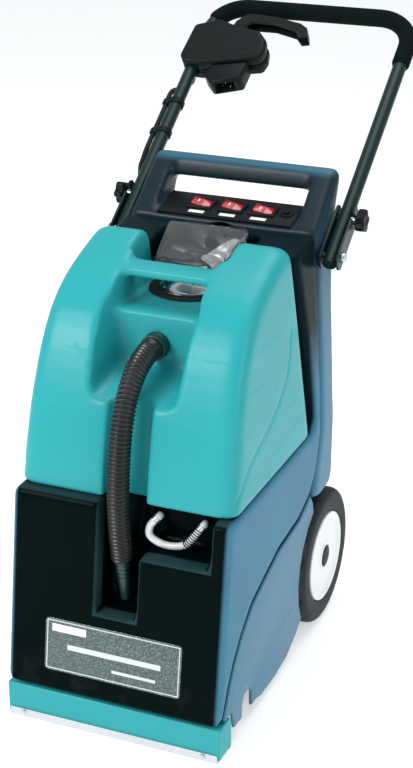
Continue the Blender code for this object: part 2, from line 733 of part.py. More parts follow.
def make_vacuum_case():
    outer = [(0.0260, 0.0470), (0.0640, 0.0470), (0.0680, 0.0510), (0.0680, 0.1180), (0.0640, 0.1220),
             (0.0470, 0.1240), (0.0470, 0.1880), (0.0120, 0.1880)]
    inner = [(0.0120, 0.1860), (0.0450, 0.1860), (0.0450, 0.1220), (0.0620, 0.1200), (0.0660, 0.1160),
             (0.0660, 0.0530), (0.0620, 0.0490), (0.0260, 0.0490)]
    place(lathe([(r, z) for r, z in outer + inner], (0, VAC_Y, 0), (0, 0, 1), 20), "vacuum_case", "steel")


def make_vacuum_fan():
    profile = [
        (0.0, 0.1820), (0.0050, 0.1820), (0.0050, 0.1750), (0.0300, 0.1700), (0.0300, 0.1300), (0.0050, 0.1250),
        (0.0050, 0.0850), (0.0580, 0.0850), (0.0600, 0.0820), (0.0600, 0.0640), (0.0200, 0.0600), (0.0, 0.0600),
    ]
    piece = lathe(profile, (0, VAC_Y, 0), (0, 0, 1), 16)
    set_origin(piece, (0, VAC_Y, 0.1))
    place(piece, "vacuum_fan", "copper")


def make_pump():
    block = soften(box((0.0360, 0.1340, 0.0440), (0.1060, 0.1900, 0.0800)), 0.003, 1)
    motor = rod((0.071, 0.162, 0.075), (0.071, 0.162, 0.120), 0.0220, 24)
    place(join_bodies(block, motor), "pump", "rubber")


def make_spray_bar():
    bar = rod((-0.095, 0.1190, 0.0520), (0.095, 0.1190, 0.0520), 0.0038, 12)
    jets = [rod((x, 0.1190, 0.0510), (x, 0.1190, 0.0400), 0.0032, 12, 0.0018) for x in (-0.07, 0.0, 0.07)]
    place(join_bodies(bar, *jets), "spray_bar", "brass")


def make_solution_tank():
    shell = soften(box((-0.136, 0.086, 0.1990), (0.108, 0.272, 0.3045)), 0.006, 2)
    inside = soften(box((-0.133, 0.089, 0.2020), (0.105, 0.269, 0.3015)), 0.005, 1)
    neck = rod((*FILLER, 0.290), (*FILLER, 0.320), 0.0200, 24)
    place(carve(shell, inside, neck), "solution_tank", "white")


def make_suction_duct():
    place(tube(smooth_route(DUCT_ROUTE, 0.028), DUCT_R, 2), "suction_duct", "rubber")


# ---- recovery tank -------------------------------------------------------------------
TANK_FRONT = [
    (0.0287, 0.317), (0.0300, 0.330), (0.0385, 0.376), (0.0495, 0.420), (0.0640, 0.460), (0.0830, 0.500),
    (0.1060, 0.530), (0.1400, 0.556), (0.1850, 0.575), (0.2300, 0.589),
]
TANK_BACK = [
    (0.2560, 0.588), (0.2640, 0.545), (0.2750, 0.486), (0.2880, 0.410), (0.2990, 0.348), (0.3035, 0.3220),
    (0.3020, TANK_BASE_Z), (0.0290, TANK_BASE_Z),
]
TANK_SKIRT = 0.030
NECK_Y = 0.236
VALLEY_Z = 0.520
PORT = Vector((0.0, 0.1330, 0.4800))


def inset_outline(points, amount):
    """The same outline moved inwards by a set amount."""
    moved = []
    count = len(points)
    for i, here in enumerate(points):
        before, after = Vector(points[i - 1]), Vector(points[(i + 1) % count])
        here = Vector(here)
        one = (here - before).normalized()
        two = (after - here).normalized()
        normal = Vector((one.y + two.y, -one.x - two.x)).normalized()
        stretch = max(0.5, math.sqrt(max(0.0, (1 + one.dot(two)) / 2)))
        moved.append(tuple(here + normal * (amount / stretch)))
    return moved


def front_recess(grow):
    low = ((0.060 + grow, 0.052 + grow), -0.020, 0.133 + grow, 0.410 - grow, 0.452 - grow)
    high = ((0.080 + grow, 0.072 + grow), -0.020, 0.133 + grow, 0.640, 0.640)
    return soften(wedge(low, high), 0.012, 3)


def tank_channel(grow):
    points = [
        (-0.06, 0.20), (0.0480 + grow, 0.20), (0.0490 + grow, 0.330), (0.0560 + grow, 0.380),
        (0.0680 + grow, 0.428), (0.0680 + grow, 0.500), (-0.06, 0.500),
    ]
    return soften(prism(points, -0.028 - grow, 0.028 + grow), 0.008, 2, 60)


def valley(grow):
    """The space between the shoulders, under, over and behind the lifting bar."""
    half = 0.058 + grow
    under = soften(box((-half, 0.1200, VALLEY_Z - grow), (half, 0.340, 0.5530)), 0.004, 1)
    behind = box((-half - 0.006, 0.1960, VALLEY_Z + 0.012 - grow), (half + 0.006, 0.340, 0.64))
    above = box((-half, 0.0900, 0.5670), (half, 0.340, 0.64))
    before = box((-half, 0.0900, VALLEY_Z - grow), (half, 0.1590, 0.64))
    return [under, behind, above, before]


def interior_valley():
    """The part of the tank's inside that the valley and the bar take up."""
    return box((-0.0680, 0.1290, VALLEY_Z - TANK_WALL), (0.0680, 0.340, 0.66))


def make_recovery_tank():
    front = [tuple(point) for point in smooth_route(TANK_FRONT, 0.024)]
    foot_z = TANK_BASE_Z - TANK_SKIRT
    tall = front + TANK_BACK[:-2] + [(0.3035, foot_z), (0.0275, foot_z)]
    shell = soften(taper(prism(tall, -BODY_HALF, BODY_HALF)), 0.025, 3, 60)
    foot = box((-0.2, -0.1, foot_z - 0.01), (0.2, 0.4, TANK_BASE_Z))
    tongue = prism([(0.220, 0.440), (0.283, 0.440), (0.300, 0.480), (0.300, VALLEY_Z), (0.220, VALLEY_Z)], -0.062, 0.062)
    inside = soften(taper(prism(inset_outline(tall, TANK_WALL), -BODY_HALF + TANK_WALL, BODY_HALF - TANK_WALL)),
                    0.0210, 3, 60)
    inner_foot = box((-0.2, -0.1, foot_z - 0.01), (0.2, 0.4, TANK_BASE_Z + TANK_WALL))
    tongue_inside = prism(
        [(0.210, 0.446), (0.280, 0.446), (0.296, 0.482), (0.296, VALLEY_Z - TANK_WALL), (0.210, VALLEY_Z - TANK_WALL)],
        -0.058, 0.058,
    )
    carve(inside, inner_foot, front_recess(TANK_WALL), tank_channel(TANK_WALL), interior_valley(), solver="MANIFOLD")
    neck = rod((0, NECK_Y, 0.500), (0, NECK_Y, 0.540), 0.0270, 24)
    port = rod(PORT + Vector((0, -0.02, 0)), PORT + Vector((0, 0.02, 0)), 0.0105, 20)
    carve(shell, foot, front_recess(0), tank_channel(0), *valley(0), solver="MANIFOLD")
    join_bodies(shell, tongue, solver="MANIFOLD")
    carve(shell, inside, tongue_inside, neck, port, solver="MANIFOLD")
    place(shell, "recovery_tank", "teal")


def make_drain_collar():
    profile = [(0.0100, 0.0003), (0.0100, 0.0160), (0.0165, 0.0160), (0.0160, 0.0060), (0.0172, 0.0045), (0.0172, 0.0003)]
    place(lathe(profile, PORT, (0, -1, 0), 24), "drain_collar", "dark_green")


DOME_R = 0.0390
SEAL_TOP = VALLEY_Z + 0.0030


def make_dome_seal():
    profile = [(0.0320, 0.0003), (0.0530, 0.0003), (0.0530, 0.0028), (0.0320, 0.0028)]
    place(lathe(profile, (0, NECK_Y, VALLEY_Z), (0, 0, 1), 28), "dome_seal", "rubber")


def make_dome():
    low_front, low_back = 0.0430, 0.0545
    top_front, top_back = 0.0460, 0.0580
    hood = soften(wedge(((low_front, low_back), 0.1975, 0.3025, 0.5500, 0.5480),
                        ((top_front, top_back), 0.2290, 0.3010, 0.5640, 0.5880)), 0.006, 2)
    collar = rod((0, NECK_Y, SEAL_TOP), (0, NECK_Y, 0.5560), DOME_R, 28)
    wall = 0.0025
    hood_inside = soften(wedge(((low_front - wall, low_back - wall), 0.1975 + wall, 0.3025 - wall, 0.5525, 0.5505),
                               ((top_front - wall, top_back - wall), 0.2290 + wall, 0.3010 - wall, 0.5615, 0.5855)),
                         0.004, 1)
    bore = rod((0, NECK_Y, 0.50), (0, NECK_Y, 0.5570), DOME_R - wall, 28)
    inlet = rod((0, 0.29, 0.560), (0, 0.32, 0.560), 0.0080, 20)
    join_bodies(hood, collar)
    place(carve(hood, hood_inside, bore, inlet), "dome", "clear")


FLOAT_R = 0.0160
CAGE_BOTTOM = 0.4560


def make_float_cage():
    profile = [
        (0.0264, VALLEY_Z - 0.0002), (0.0264, VALLEY_Z - 0.0030), (0.0205, VALLEY_Z - 0.0030),
        (0.0205, CAGE_BOTTOM), (0.0, CAGE_BOTTOM), (0.0, CAGE_BOTTOM + 0.0020), (0.0185, CAGE_BOTTOM + 0.0020),
        (0.0185, VALLEY_Z - 0.0002),
    ]
    bm = bmesh.new()
    verts = [bm.verts.new((r, 0.0, h)) for r, h in profile[4:] + profile[:4]]
    ring = verts[1:]
    for first, second in zip(ring, ring[1:]):
        bm.edges.new((first, second))
    bm.edges.new((ring[-1], verts[0]))
    cup = from_bmesh(bm)
    screw = cup.modifiers.new("turn", "SCREW")
    screw.steps = 16
    screw.render_steps = 16
    screw.use_merge_vertices = True
    screw.merge_threshold = 0.00001
    cup.location = (0, NECK_Y, 0)
    cup = settle(cup)
    windows = [
        box((-0.012, NECK_Y - 0.04, CAGE_BOTTOM + 0.006), (0.012, NECK_Y + 0.04, VALLEY_Z - 0.010)),
        box((-0.04, NECK_Y - 0.012, CAGE_BOTTOM + 0.006), (0.04, NECK_Y + 0.012, VALLEY_Z - 0.010)),
    ]
    place(carve(cup, *windows), "float_cage", "white")


def make_float_ball():
    centre = (0, NECK_Y, CAGE_BOTTOM + 0.0023 + FLOAT_R)
    piece = ball(centre, FLOAT_R, 20)
    place(piece, "float_ball", "red")


DRAIN_HOSE_R = 0.0143
DRAIN_ROUTE = [
    (0.0000, 0.1158, 0.4800), (0.0000, 0.1030, 0.4801), (0.0000, 0.0730, 0.4705), (0.0000, 0.0460, 0.4470),
    (-0.0010, 0.0300, 0.4120), (-0.0020, 0.0220, 0.3700), (-0.0030, 0.0190, 0.3200), (-0.0030, 0.0210, 0.2760),
    (-0.0030, 0.0250, 0.2480), (-0.0030, 0.0272, 0.2330),
]
PLUG_TOP = Vector((-0.0030, 0.0275, 0.2316))
PLUG_TIP = Vector((-0.0010, 0.0312, 0.1750))


def make_drain_hose():
    place(tube(smooth_route(DRAIN_ROUTE, 0.020), DRAIN_HOSE_R, 3), "drain_hose", "rubber")
    place(rod(PLUG_TOP, PLUG_TIP, 0.0105, 20, 0.0060), "drain_plug", "dark_green")


LEVEL_ROUTE = [
    (0.0380, 0.0528, 0.2900), (0.0380, 0.0460, 0.2898), (0.0290, 0.0420, 0.2790), (0.0285, 0.0410, 0.2660),
    (0.0420, 0.0405, 0.2580), (0.0600, 0.0405, 0.2570), (0.0760, 0.0410, 0.2620), (0.0870, 0.0420, 0.2740),
    (0.0978, 0.0460, 0.2896), (0.0980, 0.0528, 0.2900),
]
LEVEL_R = 0.0047


def make_level_hose():
    place(tube(smooth_route(LEVEL_ROUTE, 0.009), LEVEL_R, 3), "level_hose", "clear")


# ---- folding handle ------------------------------------------------------------------
def handle_route(first_v, last_v=None, last_turn=180, bend_steps=6):
    """Up the right tube from first_v, across the bar, and round the left bend or down to last_v."""
    line = 0.069
    points = [on_handle(HANDLE_X, first_v)]
    for side, start, end in ((1, 0, 90), (-1, 90, last_turn)):
        centre = (side * (HANDLE_X - BEND_R), line - BEND_R)
        points += [on_handle(*spot) for spot in arc(centre, BEND_R, start, end, bend_steps)]
    if last_v is not None:
        points.append(on_handle(-HANDLE_X, last_v))
    return points


def handle_cross(along, start_x, end_x, radius, sides=16):
    """A rod across the handle, parallel to the pivot, a set way up the tube."""
    spot = PIVOT + ALONG * along
    return rod(spot + ACROSS * start_x, spot + ACROSS * end_x, radius, sides)


PIVOT_V = 0.069 - HANDLE_LENGTH
TUBE_FOOT = PIVOT_V - 0.014


def make_handle_tube():
    piece = tube(handle_route(TUBE_FOOT, TUBE_FOOT), HANDLE_R, 4)
    holes = [handle_cross(0.0, -0.2, 0.2, 0.0044), handle_cross(STUD_ALONG, -0.2, 0.2, 0.0044)]
    carve(piece, *holes)
    set_origin(piece, PIVOT)
    place(piece, "handle_tube", "dark_green")


def make_foam_grip():
    piece = tube(handle_route(-0.018, None, 156), GRIP_R, 4)
    bore = tube(handle_route(-0.060, -0.020), HANDLE_R + GAP, 4)
    place(carve(piece, bore, solver="MANIFOLD"), "foam_grip", "foam")


STRAP_PLANE = basis(ALONG, ABOVE, ACROSS, PIVOT)
STRAP = [
    (-0.0165, -0.0060), (-0.0110, -0.0120), (0.0740, -0.0120), (0.0790, -0.0070), (0.0790, 0.0070),
    (0.0740, 0.0120), (-0.0110, 0.0120), (-0.0165, 0.0060),
]


def make_handle_bracket(side):
    """A channel around the tube, open in front: an inner strap, a web under the tube, and an
    outer strap whose curved slot lets the clamp's stud swing out."""
    low, high = sorted((side * BRACKET_IN, side * BRACKET_OUT))
    gap_low, gap_high = sorted((side * (BRACKET_IN + PLATE), side * (BRACKET_OUT - PLATE)))
    way = framed_box(STRAP_PLANE, (-0.03, -0.0098, gap_low), (0.10, 0.03, gap_high))
    swing = framed_box(STRAP_PLANE, (-0.03, -0.03, gap_low), (0.012, 0.03, gap_high))
    slot_outline = arc((0, 0), 0.0668, -4.6, 40, 8) + arc((0, 0), 0.0572, 40, -4.6, 8)
    slot_low, slot_high = sorted((side * (BRACKET_OUT - PLATE - 0.002), side * (BRACKET_OUT + 0.002)))
    bolt = handle_cross(0.0, side * 0.12, side * 0.18, 0.0043)
    slot = prism(slot_outline, slot_low, slot_high, STRAP_PLANE)
    bracket = carve(prism(STRAP, low, high, STRAP_PLANE), way, swing, slot, bolt)
    place(bracket, "bracket_right" if side > 0 else "bracket_left", "dark_green")


def make_pivot_bolt(side):
    profile = [(0.0, 0.0350), (0.0060, 0.0342), (0.0068, 0.0325), (0.0068, 0.0285), (0.0040, 0.0285),
               (0.0040, 0.0), (0.0, 0.0)]
    bolt = lathe(profile, (side * 0.1356, PIVOT_Y, PIVOT_Z), (side, 0, 0), 12)
    place(bolt, "pivot_bolt_right" if side > 0 else "pivot_bolt_left", "zinc")


STUD_SPOT = PIVOT + ALONG * STUD_ALONG


def make_knob(side):
    """A five-lobed clamp knob on its stud, which passes through the tube."""
    outline = []
    for i in range(40):
        angle = 2 * math.pi * i / 40
        radius = 0.0138 + 0.0024 * math.cos(5 * angle)
        outline.append((STUD_SPOT.y + radius * math.cos(angle), STUD_SPOT.z + radius * math.sin(angle)))
    low, high = sorted((side * 0.1670, side * 0.1800))
    lobes = soften(prism(outline, low, high), 0.0020, 1, 60)
    boss = handle_cross(STUD_ALONG, side * 0.1644, side * 0.1720, 0.0078, 20)
    stud = handle_cross(STUD_ALONG, side * 0.1412, side * 0.1700, 0.0040, 12)
    knob = join_bodies(lobes, boss, stud)
    set_origin(knob, STUD_SPOT)
    place(knob, "knob_right" if side > 0 else "knob_left", "rubber")


SWITCH_OUTLINE = [
    (-0.1690, -0.0460), (-0.1660, 0.0140), (-0.1300, 0.0290), (-0.1100, 0.0210), (-0.0640, 0.0110),
    (-0.0490, -0.0050), (-0.0450, -0.0240), (-0.0480, -0.0400), (-0.1350, -0.0600), (-0.1600, -0.0590),
]
LEVER_PIVOT = (-0.1060, 0.0080)


def make_switch_box():
    """Two half shells that clasp the left tube, with room for the lever between them."""
    for name, low, high in (("switch_box_front", 0.0002, 0.0190), ("switch_box_back", -0.0190, -0.0002)):
        shell = soften(prism(SWITCH_OUTLINE[::-1], low, high, HANDLE_PLANE), 0.004, 1, 60)
        tube_way = tube(handle_route(-0.02, -0.1), HANDLE_R + GAP, 4)
        room = prism(
            [(-0.1340, -0.0520), (-0.1340, 0.0240), (-0.1100, 0.0160), (-0.0660, 0.0060), (-0.0520, -0.0100),
             (-0.0520, -0.0350)][::-1],
            -0.0150, 0.0150, HANDLE_PLANE,
        )
        lever_way = framed_box(HANDLE_PLANE, (-0.1220, -0.0080, -0.0112), (-0.0800, 0.0600, 0.0112))
        place(carve(shell, tube_way, room, lever_way), name, "rubber")


def make_trigger_lever():
    outline = [
        (-0.1150, 0.0040), (-0.1060, -0.0010), (-0.0985, 0.0040), (-0.0950, 0.0230), (-0.0850, 0.0330),
        (-0.0500, 0.0330), (-0.0160, 0.0240), (-0.0050, 0.0120), (0.0060, 0.0150), (0.0010, 0.0300),
        (-0.0110, 0.0380), (-0.0500, 0.0465), (-0.0850, 0.0500), (-0.0980, 0.0470), (-0.1090, 0.0330),
    ]
    bar = prism(outline, -0.0095, 0.0095, HANDLE_PLANE)
    finger_side = [
        (-0.0900, 0.0200), (-0.0500, 0.0200), (-0.0100, 0.0050), (0.0100, 0.0050), (0.0020, 0.0200),
        (-0.0120, 0.0340), (-0.0500, 0.0430), (-0.0850, 0.0450), (-0.0930, 0.0380),
    ]
    hollow = prism(finger_side, -0.0070, 0.0070, HANDLE_PLANE)
    pins = rod(on_handle(*LEVER_PIVOT, -0.0140), on_handle(*LEVER_PIVOT, 0.0140), 0.0030, 12)
    lever = join_bodies(carve(bar, hollow), pins)
    set_origin(lever, on_handle(*LEVER_PIVOT))
    place(lever, "trigger_lever", "rubber")


def make_mains_inlet():
    outline = [(-0.1190, -0.0575), (-0.1210, -0.0770), (-0.1060, -0.0920), (-0.0650, -0.0780), (-0.0640, -0.0449)]
    shell = soften(prism(outline, -0.0140, 0.0140, HANDLE_PLANE), 0.003, 1, 60)
    socket = framed_box(HANDLE_PLANE, (-0.1020, -0.1200, -0.0090), (-0.0760, -0.0690, 0.0090))
    place(carve(shell, socket), "mains_inlet", "rubber")


CABLE_R = 0.0035
CABLE_X = -HANDLE_X - HANDLE_R - CABLE_R - 0.0020
CLIP_V = (-0.125, -0.180)


def cable_knots():
    return [
        on_handle(-0.1500, -0.0612, -0.0145), on_handle(-0.1505, -0.0720, -0.0145), on_handle(-0.1600, -0.0880, -0.0100),
        on_handle(CABLE_X, -0.1050, 0.0), on_handle(CABLE_X, -0.1350, 0.0), on_handle(CABLE_X, -0.1700, 0.0),
        on_handle(CABLE_X, -0.2100, 0.0), on_handle(CABLE_X, -0.2296, -0.0030),
    ]


def make_switch_cable():
    place(tube(smooth_route(cable_knots(), 0.0085), CABLE_R, 2), "switch_cable", "rubber")
    tail = [
        on_handle(CABLE_X, -0.2309, -0.0032), on_handle(CABLE_X, -0.2390, -0.0044),
        Vector((-0.1672, 0.4470, 0.5880)), Vector((-0.1665, 0.4360, 0.5500)), Vector((-0.1620, 0.4180, 0.5160)),
        Vector((-0.1520, 0.4000, 0.4940)), Vector((-0.1408, 0.3879, 0.4845)),
    ]
    place(tube(smooth_route(tail, 0.0080), CABLE_R, 2), "cable_tail", "rubber")


def make_cable_clips():
    for name, v in zip(("cable_clip_upper", "cable_clip_lower"), CLIP_V):
        low, high = v - 0.004, v + 0.004
        ring = rod(on_handle(-HANDLE_X, low), on_handle(-HANDLE_X, high), HANDLE_R + 0.0020, 20)
        ear = rod(on_handle(CABLE_X, low), on_handle(CABLE_X, high), CABLE_R + 0.0024, 12)
        tube_way = rod(on_handle(-HANDLE_X, low - 0.01), on_handle(-HANDLE_X, high + 0.01), HANDLE_R + GAP, 20)
        cable_way = rod(on_handle(CABLE_X, low - 0.01), on_handle(CABLE_X, high + 0.01), CABLE_R + 0.0010, 12)
        place(carve(join_bodies(ring, ear), tube_way, cable_way), name, "white")


# ---- build ---------------------------------------------------------------------------
def build_body():
    make_main_body()
    mirrored(make_skirt)
    make_rear_housing()
    make_exhaust_grille()
    make_label_plate()
    make_chassis_tray()


def build_controls():
    make_control_panel()
    make_rockers()
    make_reset_button()


def build_running_gear():
    make_axle()
    mirrored(make_wheel)
    make_brush_housing()
    make_brush()
    mirrored(make_brush_bearing)
    make_brush_motor()
    make_motor_pulley()
    make_drive_belt()


def build_water_and_vacuum():
    make_vac_shoe()
    make_shoe_lip()
    mirrored(make_shoe_screw)
    make_vacuum_case()
    make_vacuum_fan()
    make_pump()
    make_spray_bar()
    make_solution_tank()
    make_suction_duct()
    make_level_hose()


def build_recovery_tank():
    make_recovery_tank()
    make_drain_collar()
    make_dome_seal()
    make_dome()
    make_float_cage()
    make_float_ball()
    make_drain_hose()


def build_handle():
    make_handle_tube()
    make_foam_grip()
    mirrored(make_handle_bracket)
    mirrored(make_pivot_bolt)
    mirrored(make_knob)
    make_switch_box()
    make_trigger_lever()
    make_mains_inlet()
    make_switch_cable()
    make_cable_clips()


build_body()
build_controls()
build_running_gear()
build_water_and_vacuum()
build_recovery_tank()
build_handle()
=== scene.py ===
"""Looks for an upright carpet cleaner: moulded shells, hoses, wheels, folding handle and stage."""

import json
import math

import bmesh
import bpy
import numpy as np
from bpy.props import FloatProperty, FloatVectorProperty, IntProperty, PointerProperty
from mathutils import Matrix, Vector


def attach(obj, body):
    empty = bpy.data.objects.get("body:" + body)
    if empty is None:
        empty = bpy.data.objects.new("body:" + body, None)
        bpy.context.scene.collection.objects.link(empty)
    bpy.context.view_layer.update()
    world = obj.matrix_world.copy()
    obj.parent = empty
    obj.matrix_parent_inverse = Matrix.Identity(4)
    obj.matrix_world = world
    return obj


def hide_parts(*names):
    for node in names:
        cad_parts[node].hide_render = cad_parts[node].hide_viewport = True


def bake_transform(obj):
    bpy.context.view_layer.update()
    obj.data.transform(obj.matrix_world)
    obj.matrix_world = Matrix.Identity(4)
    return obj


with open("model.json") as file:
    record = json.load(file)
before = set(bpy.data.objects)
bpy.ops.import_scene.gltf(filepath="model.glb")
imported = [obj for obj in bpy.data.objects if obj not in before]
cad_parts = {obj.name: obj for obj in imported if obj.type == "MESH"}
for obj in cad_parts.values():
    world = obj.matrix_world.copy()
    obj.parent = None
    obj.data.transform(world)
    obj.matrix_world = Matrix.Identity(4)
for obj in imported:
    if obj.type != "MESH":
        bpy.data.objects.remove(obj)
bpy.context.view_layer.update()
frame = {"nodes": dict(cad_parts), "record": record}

bl_info = {
    "name": "Carpet Cleaner Looks",
    "version": (1, 0, 0),
    "blender": (4, 5, 0),
    "location": "View3D > Sidebar > Cleaner",
    "description": "Makes the visible pieces, finishes and stage of an upright carpet cleaner",
    "category": "Object",
}

RECORD = frame["record"]
NODES = frame["nodes"]
BODY_OF = {node: body for body, nodes in RECORD["behaviour"]["bodies"].items() for node in nodes}
SLOT_OF = {row["node"]: row["material_slot"] for row in RECORD["subparts"]}

# ---- where the moving parts are, in metres ---------------------------------------------
X_AXIS = np.array((1.0, 0.0, 0.0))
Y_AXIS = np.array((0.0, 1.0, 0.0))
Z_AXIS = np.array((0.0, 0.0, 1.0))
HANDLE_TILT = math.radians(55.0)
ALONG = np.array((0.0, math.sin(HANDLE_TILT), math.cos(HANDLE_TILT)))
ABOVE = np.array((0.0, -math.cos(HANDLE_TILT), math.sin(HANDLE_TILT)))
PIVOT = np.array((0.0, 0.351, 0.546))
HANDLE_X = 0.1505
HANDLE_R = 0.0095
HANDLE_LENGTH = 0.422
GRIP_LINE = 0.069
BEND_R = 0.052
GRIP_R = 0.0125
STUD_ALONG = 0.062
BOX_DATUM = PIVOT + ALONG * (HANDLE_LENGTH - GRIP_LINE)
TUBE_FOOT = GRIP_LINE - HANDLE_LENGTH - 0.014

PANEL_SLOPE = math.atan2(0.0135, 0.0645)
PANEL_BACK = np.array((0.0, math.cos(PANEL_SLOPE), math.sin(PANEL_SLOPE)))
PANEL_OUT = np.array((0.0, -math.sin(PANEL_SLOPE), math.cos(PANEL_SLOPE)))
PANEL_CENTRE = np.array((0.0, 0.3725, 0.5852))
SWITCH_X = (-0.041, 0.003, 0.047)
RESET_X = 0.080

WHEEL_SPOT = np.array((0.0, 0.367, 0.097))
WHEEL_R = 0.097
DISC_R = 0.0637
BRUSH_SPOT = np.array((0.0, 0.073, 0.0325))

PORT = np.array((0.0, 0.1330, 0.4800))
DRAIN_HOSE_R = 0.0143
DRAIN_KNOTS = [
    (0.0000, 0.1158, 0.4800), (0.0000, 0.1030, 0.4801), (0.0000, 0.0730, 0.4705), (0.0000, 0.0460, 0.4470),
    (-0.0010, 0.0300, 0.4120), (-0.0020, 0.0220, 0.3700), (-0.0030, 0.0190, 0.3200), (-0.0030, 0.0210, 0.2760),
    (-0.0030, 0.0250, 0.2480), (-0.0030, 0.0272, 0.2330),
]
PLUG_TOP = np.array((-0.0030, 0.0275, 0.2316))
PLUG_TIP = np.array((-0.0010, 0.0312, 0.1750))
LEVEL_HOSE_R = 0.0047
GUARD_WIRE = 0.0007
GUARD_PITCH = 0.0034
LEVEL_KNOTS = [
    (0.0380, 0.0528, 0.2900), (0.0380, 0.0460, 0.2898), (0.0290, 0.0420, 0.2790), (0.0285, 0.0410, 0.2660),
    (0.0420, 0.0405, 0.2580), (0.0600, 0.0405, 0.2570), (0.0760, 0.0410, 0.2620), (0.0870, 0.0420, 0.2740),
    (0.0978, 0.0460, 0.2896), (0.0980, 0.0528, 0.2900),
]
CABLE_R = 0.0035
CABLE_X = -HANDLE_X - HANDLE_R - CABLE_R - 0.0020


def on_handle(x, v, n=0.0):
    """A point in the handle's own plane: across, along the tubes, and above them."""
    return BOX_DATUM + X_AXIS * x + ALONG * v + ABOVE * n


def on_panel(x, v, n=0.0):
    """A point on the control panel: across, backwards, and out of it."""
    return PANEL_CENTRE + X_AXIS * x + PANEL_BACK * v + PANEL_OUT * n


# ---- sizes and colours a user would change ---------------------------------------------
class CleanerSizes(bpy.types.PropertyGroup):
    """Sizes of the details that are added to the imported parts."""

    hose_pitch: FloatProperty(
        name="Hose Pitch", description="Distance from one ring of the drain hose to the next",
        default=0.0052, min=0.002, max=0.02, unit="LENGTH")
    hose_groove: FloatProperty(
        name="Hose Groove", description="Depth of the grooves between the drain hose's rings",
        default=0.0021, min=0.0, max=0.004, unit="LENGTH")
    round_steps: IntProperty(
        name="Round Steps", description="Faces around a wheel or another turned piece",
        default=96, min=24, max=256)
    tuft_rows: IntProperty(
        name="Tuft Rows", description="Rows of bristle tufts wound around the brush",
        default=9, min=2, max=16)
    tufts_per_row: IntProperty(
        name="Tufts Per Row", description="Bristle tufts along each row of the brush",
        default=34, min=8, max=80)


class CleanerColours(bpy.types.PropertyGroup):
    """Colours of the main finishes."""

    tank: FloatVectorProperty(
        name="Tank", description="Colour of the recovery tank and the shoe", subtype="COLOR",
        default=(0.018, 0.330, 0.355), min=0.0, max=1.0)
    front: FloatVectorProperty(
        name="Front", description="Colour of the lower body's front", subtype="COLOR",
        default=(0.0010, 0.0042, 0.0045), min=0.0, max=1.0)
    # Painted light: the sides are the same dark moulding as the front; this paler slate stands for the side lamp's
    # sheen on them and on the carry handle's flanks.
    side: FloatVectorProperty(
        name="Side", description="Colour of the body's sides and carry handle", subtype="COLOR",
        default=(0.048, 0.180, 0.276), min=0.0, max=1.0)
    switch: FloatVectorProperty(
        name="Switch", description="Colour of the rocker switches", subtype="COLOR",
        default=(0.40, 0.006, 0.022), min=0.0, max=1.0)


def sizes():
    return bpy.context.scene.cleaner_sizes


def colours():
    return bpy.context.scene.cleaner_colours


# ---- meshes worked out with numpy -------------------------------------------------------
def unit(vectors):
    return vectors / np.linalg.norm(vectors, axis=-1, keepdims=True)


def mesh_object(name, points, faces, uv=None):
    """An object at the origin from an array of points and an array of faces."""
    mesh = bpy.data.meshes.new(name)
    mesh.from_pydata(points.reshape(-1, 3).tolist(), [], faces.tolist() if isinstance(faces, np.ndarray) else faces)
    mesh.update()
    if uv is not None:
        layer = mesh.uv_layers.new(name="route")
        corners = np.zeros(len(mesh.loops), dtype=np.int32)
        mesh.loops.foreach_get("vertex_index", corners)
        layer.data.foreach_set("uv", uv.reshape(-1, 2)[corners].astype(np.float32).ravel())
    piece = bpy.data.objects.new(name, mesh)
    bpy.context.scene.collection.objects.link(piece)
    return piece


def grid_faces(rows, columns):
    """Four-sided faces of a grid whose columns close on themselves and whose rows stay open."""
    r, c = np.meshgrid(np.arange(rows - 1), np.arange(columns), indexing="ij")
    right = (c + 1) % columns
    return np.stack([r * columns + c, r * columns + right, (r + 1) * columns + right, (r + 1) * columns + c],
                    axis=-1).reshape(-1, 4)


def closed_grid(name, points, uv=None):
    """A tube-like surface, rows by columns, with a fan of its own rim on each end."""
    rows, columns = points.shape[:2]
    body = grid_faces(rows, columns).tolist()
    first = list(range(columns))[::-1]
    last = list(range((rows - 1) * columns, rows * columns))
    piece = mesh_object(name, points, body + [first, last], uv)
    return outward(piece)


def outward(piece):
    """Welds a mesh's doubles and turns its faces outwards."""
    work = bmesh.new()
    work.from_mesh(piece.data)
    bmesh.ops.remove_doubles(work, verts=work.verts, dist=1e-6)
    bmesh.ops.recalc_face_normals(work, faces=work.faces)
    work.to_mesh(piece.data)
    work.free()
    return piece


def frame_about(axis):
    """Two directions square to an axis and to each other."""
    axis = unit(np.asarray(axis, float))
    helper = Z_AXIS if abs(axis[2]) < 0.9 else X_AXIS
    side = unit(np.cross(helper, axis))
    return axis, side, np.cross(axis, side)


def turned(name, profile, centre, axis, steps=None, lobes=0, lobe_depth=0.0):
    """A profile of (radius, height) pairs turned about an axis: centre + height along the axis
    + radius times (cos, sin) of the angle across it.  Lobes add depth * cos(lobes * angle) to the
    radius, in proportion to it."""
    steps = steps or sizes().round_steps
    axis, side, up = frame_about(axis)
    profile = np.asarray(profile, float)
    angle = np.linspace(0, 2 * math.pi, steps, endpoint=False)
    radius = profile[:, :1] * (1 + lobe_depth * np.cos(lobes * angle)[None, :])
    ring = np.cos(angle)[None, :, None] * side + np.sin(angle)[None, :, None] * up
    points = np.asarray(centre, float) + profile[:, 1, None, None] * axis + radius[..., None] * ring
    rows = len(profile)
    if profile[0, 0] > 1e-5 and profile[-1, 0] > 1e-5:
        points = np.concatenate([points, points[:1]])
        return outward(mesh_object(name, points, grid_faces(rows + 1, steps)))
    return closed_grid(name, points)


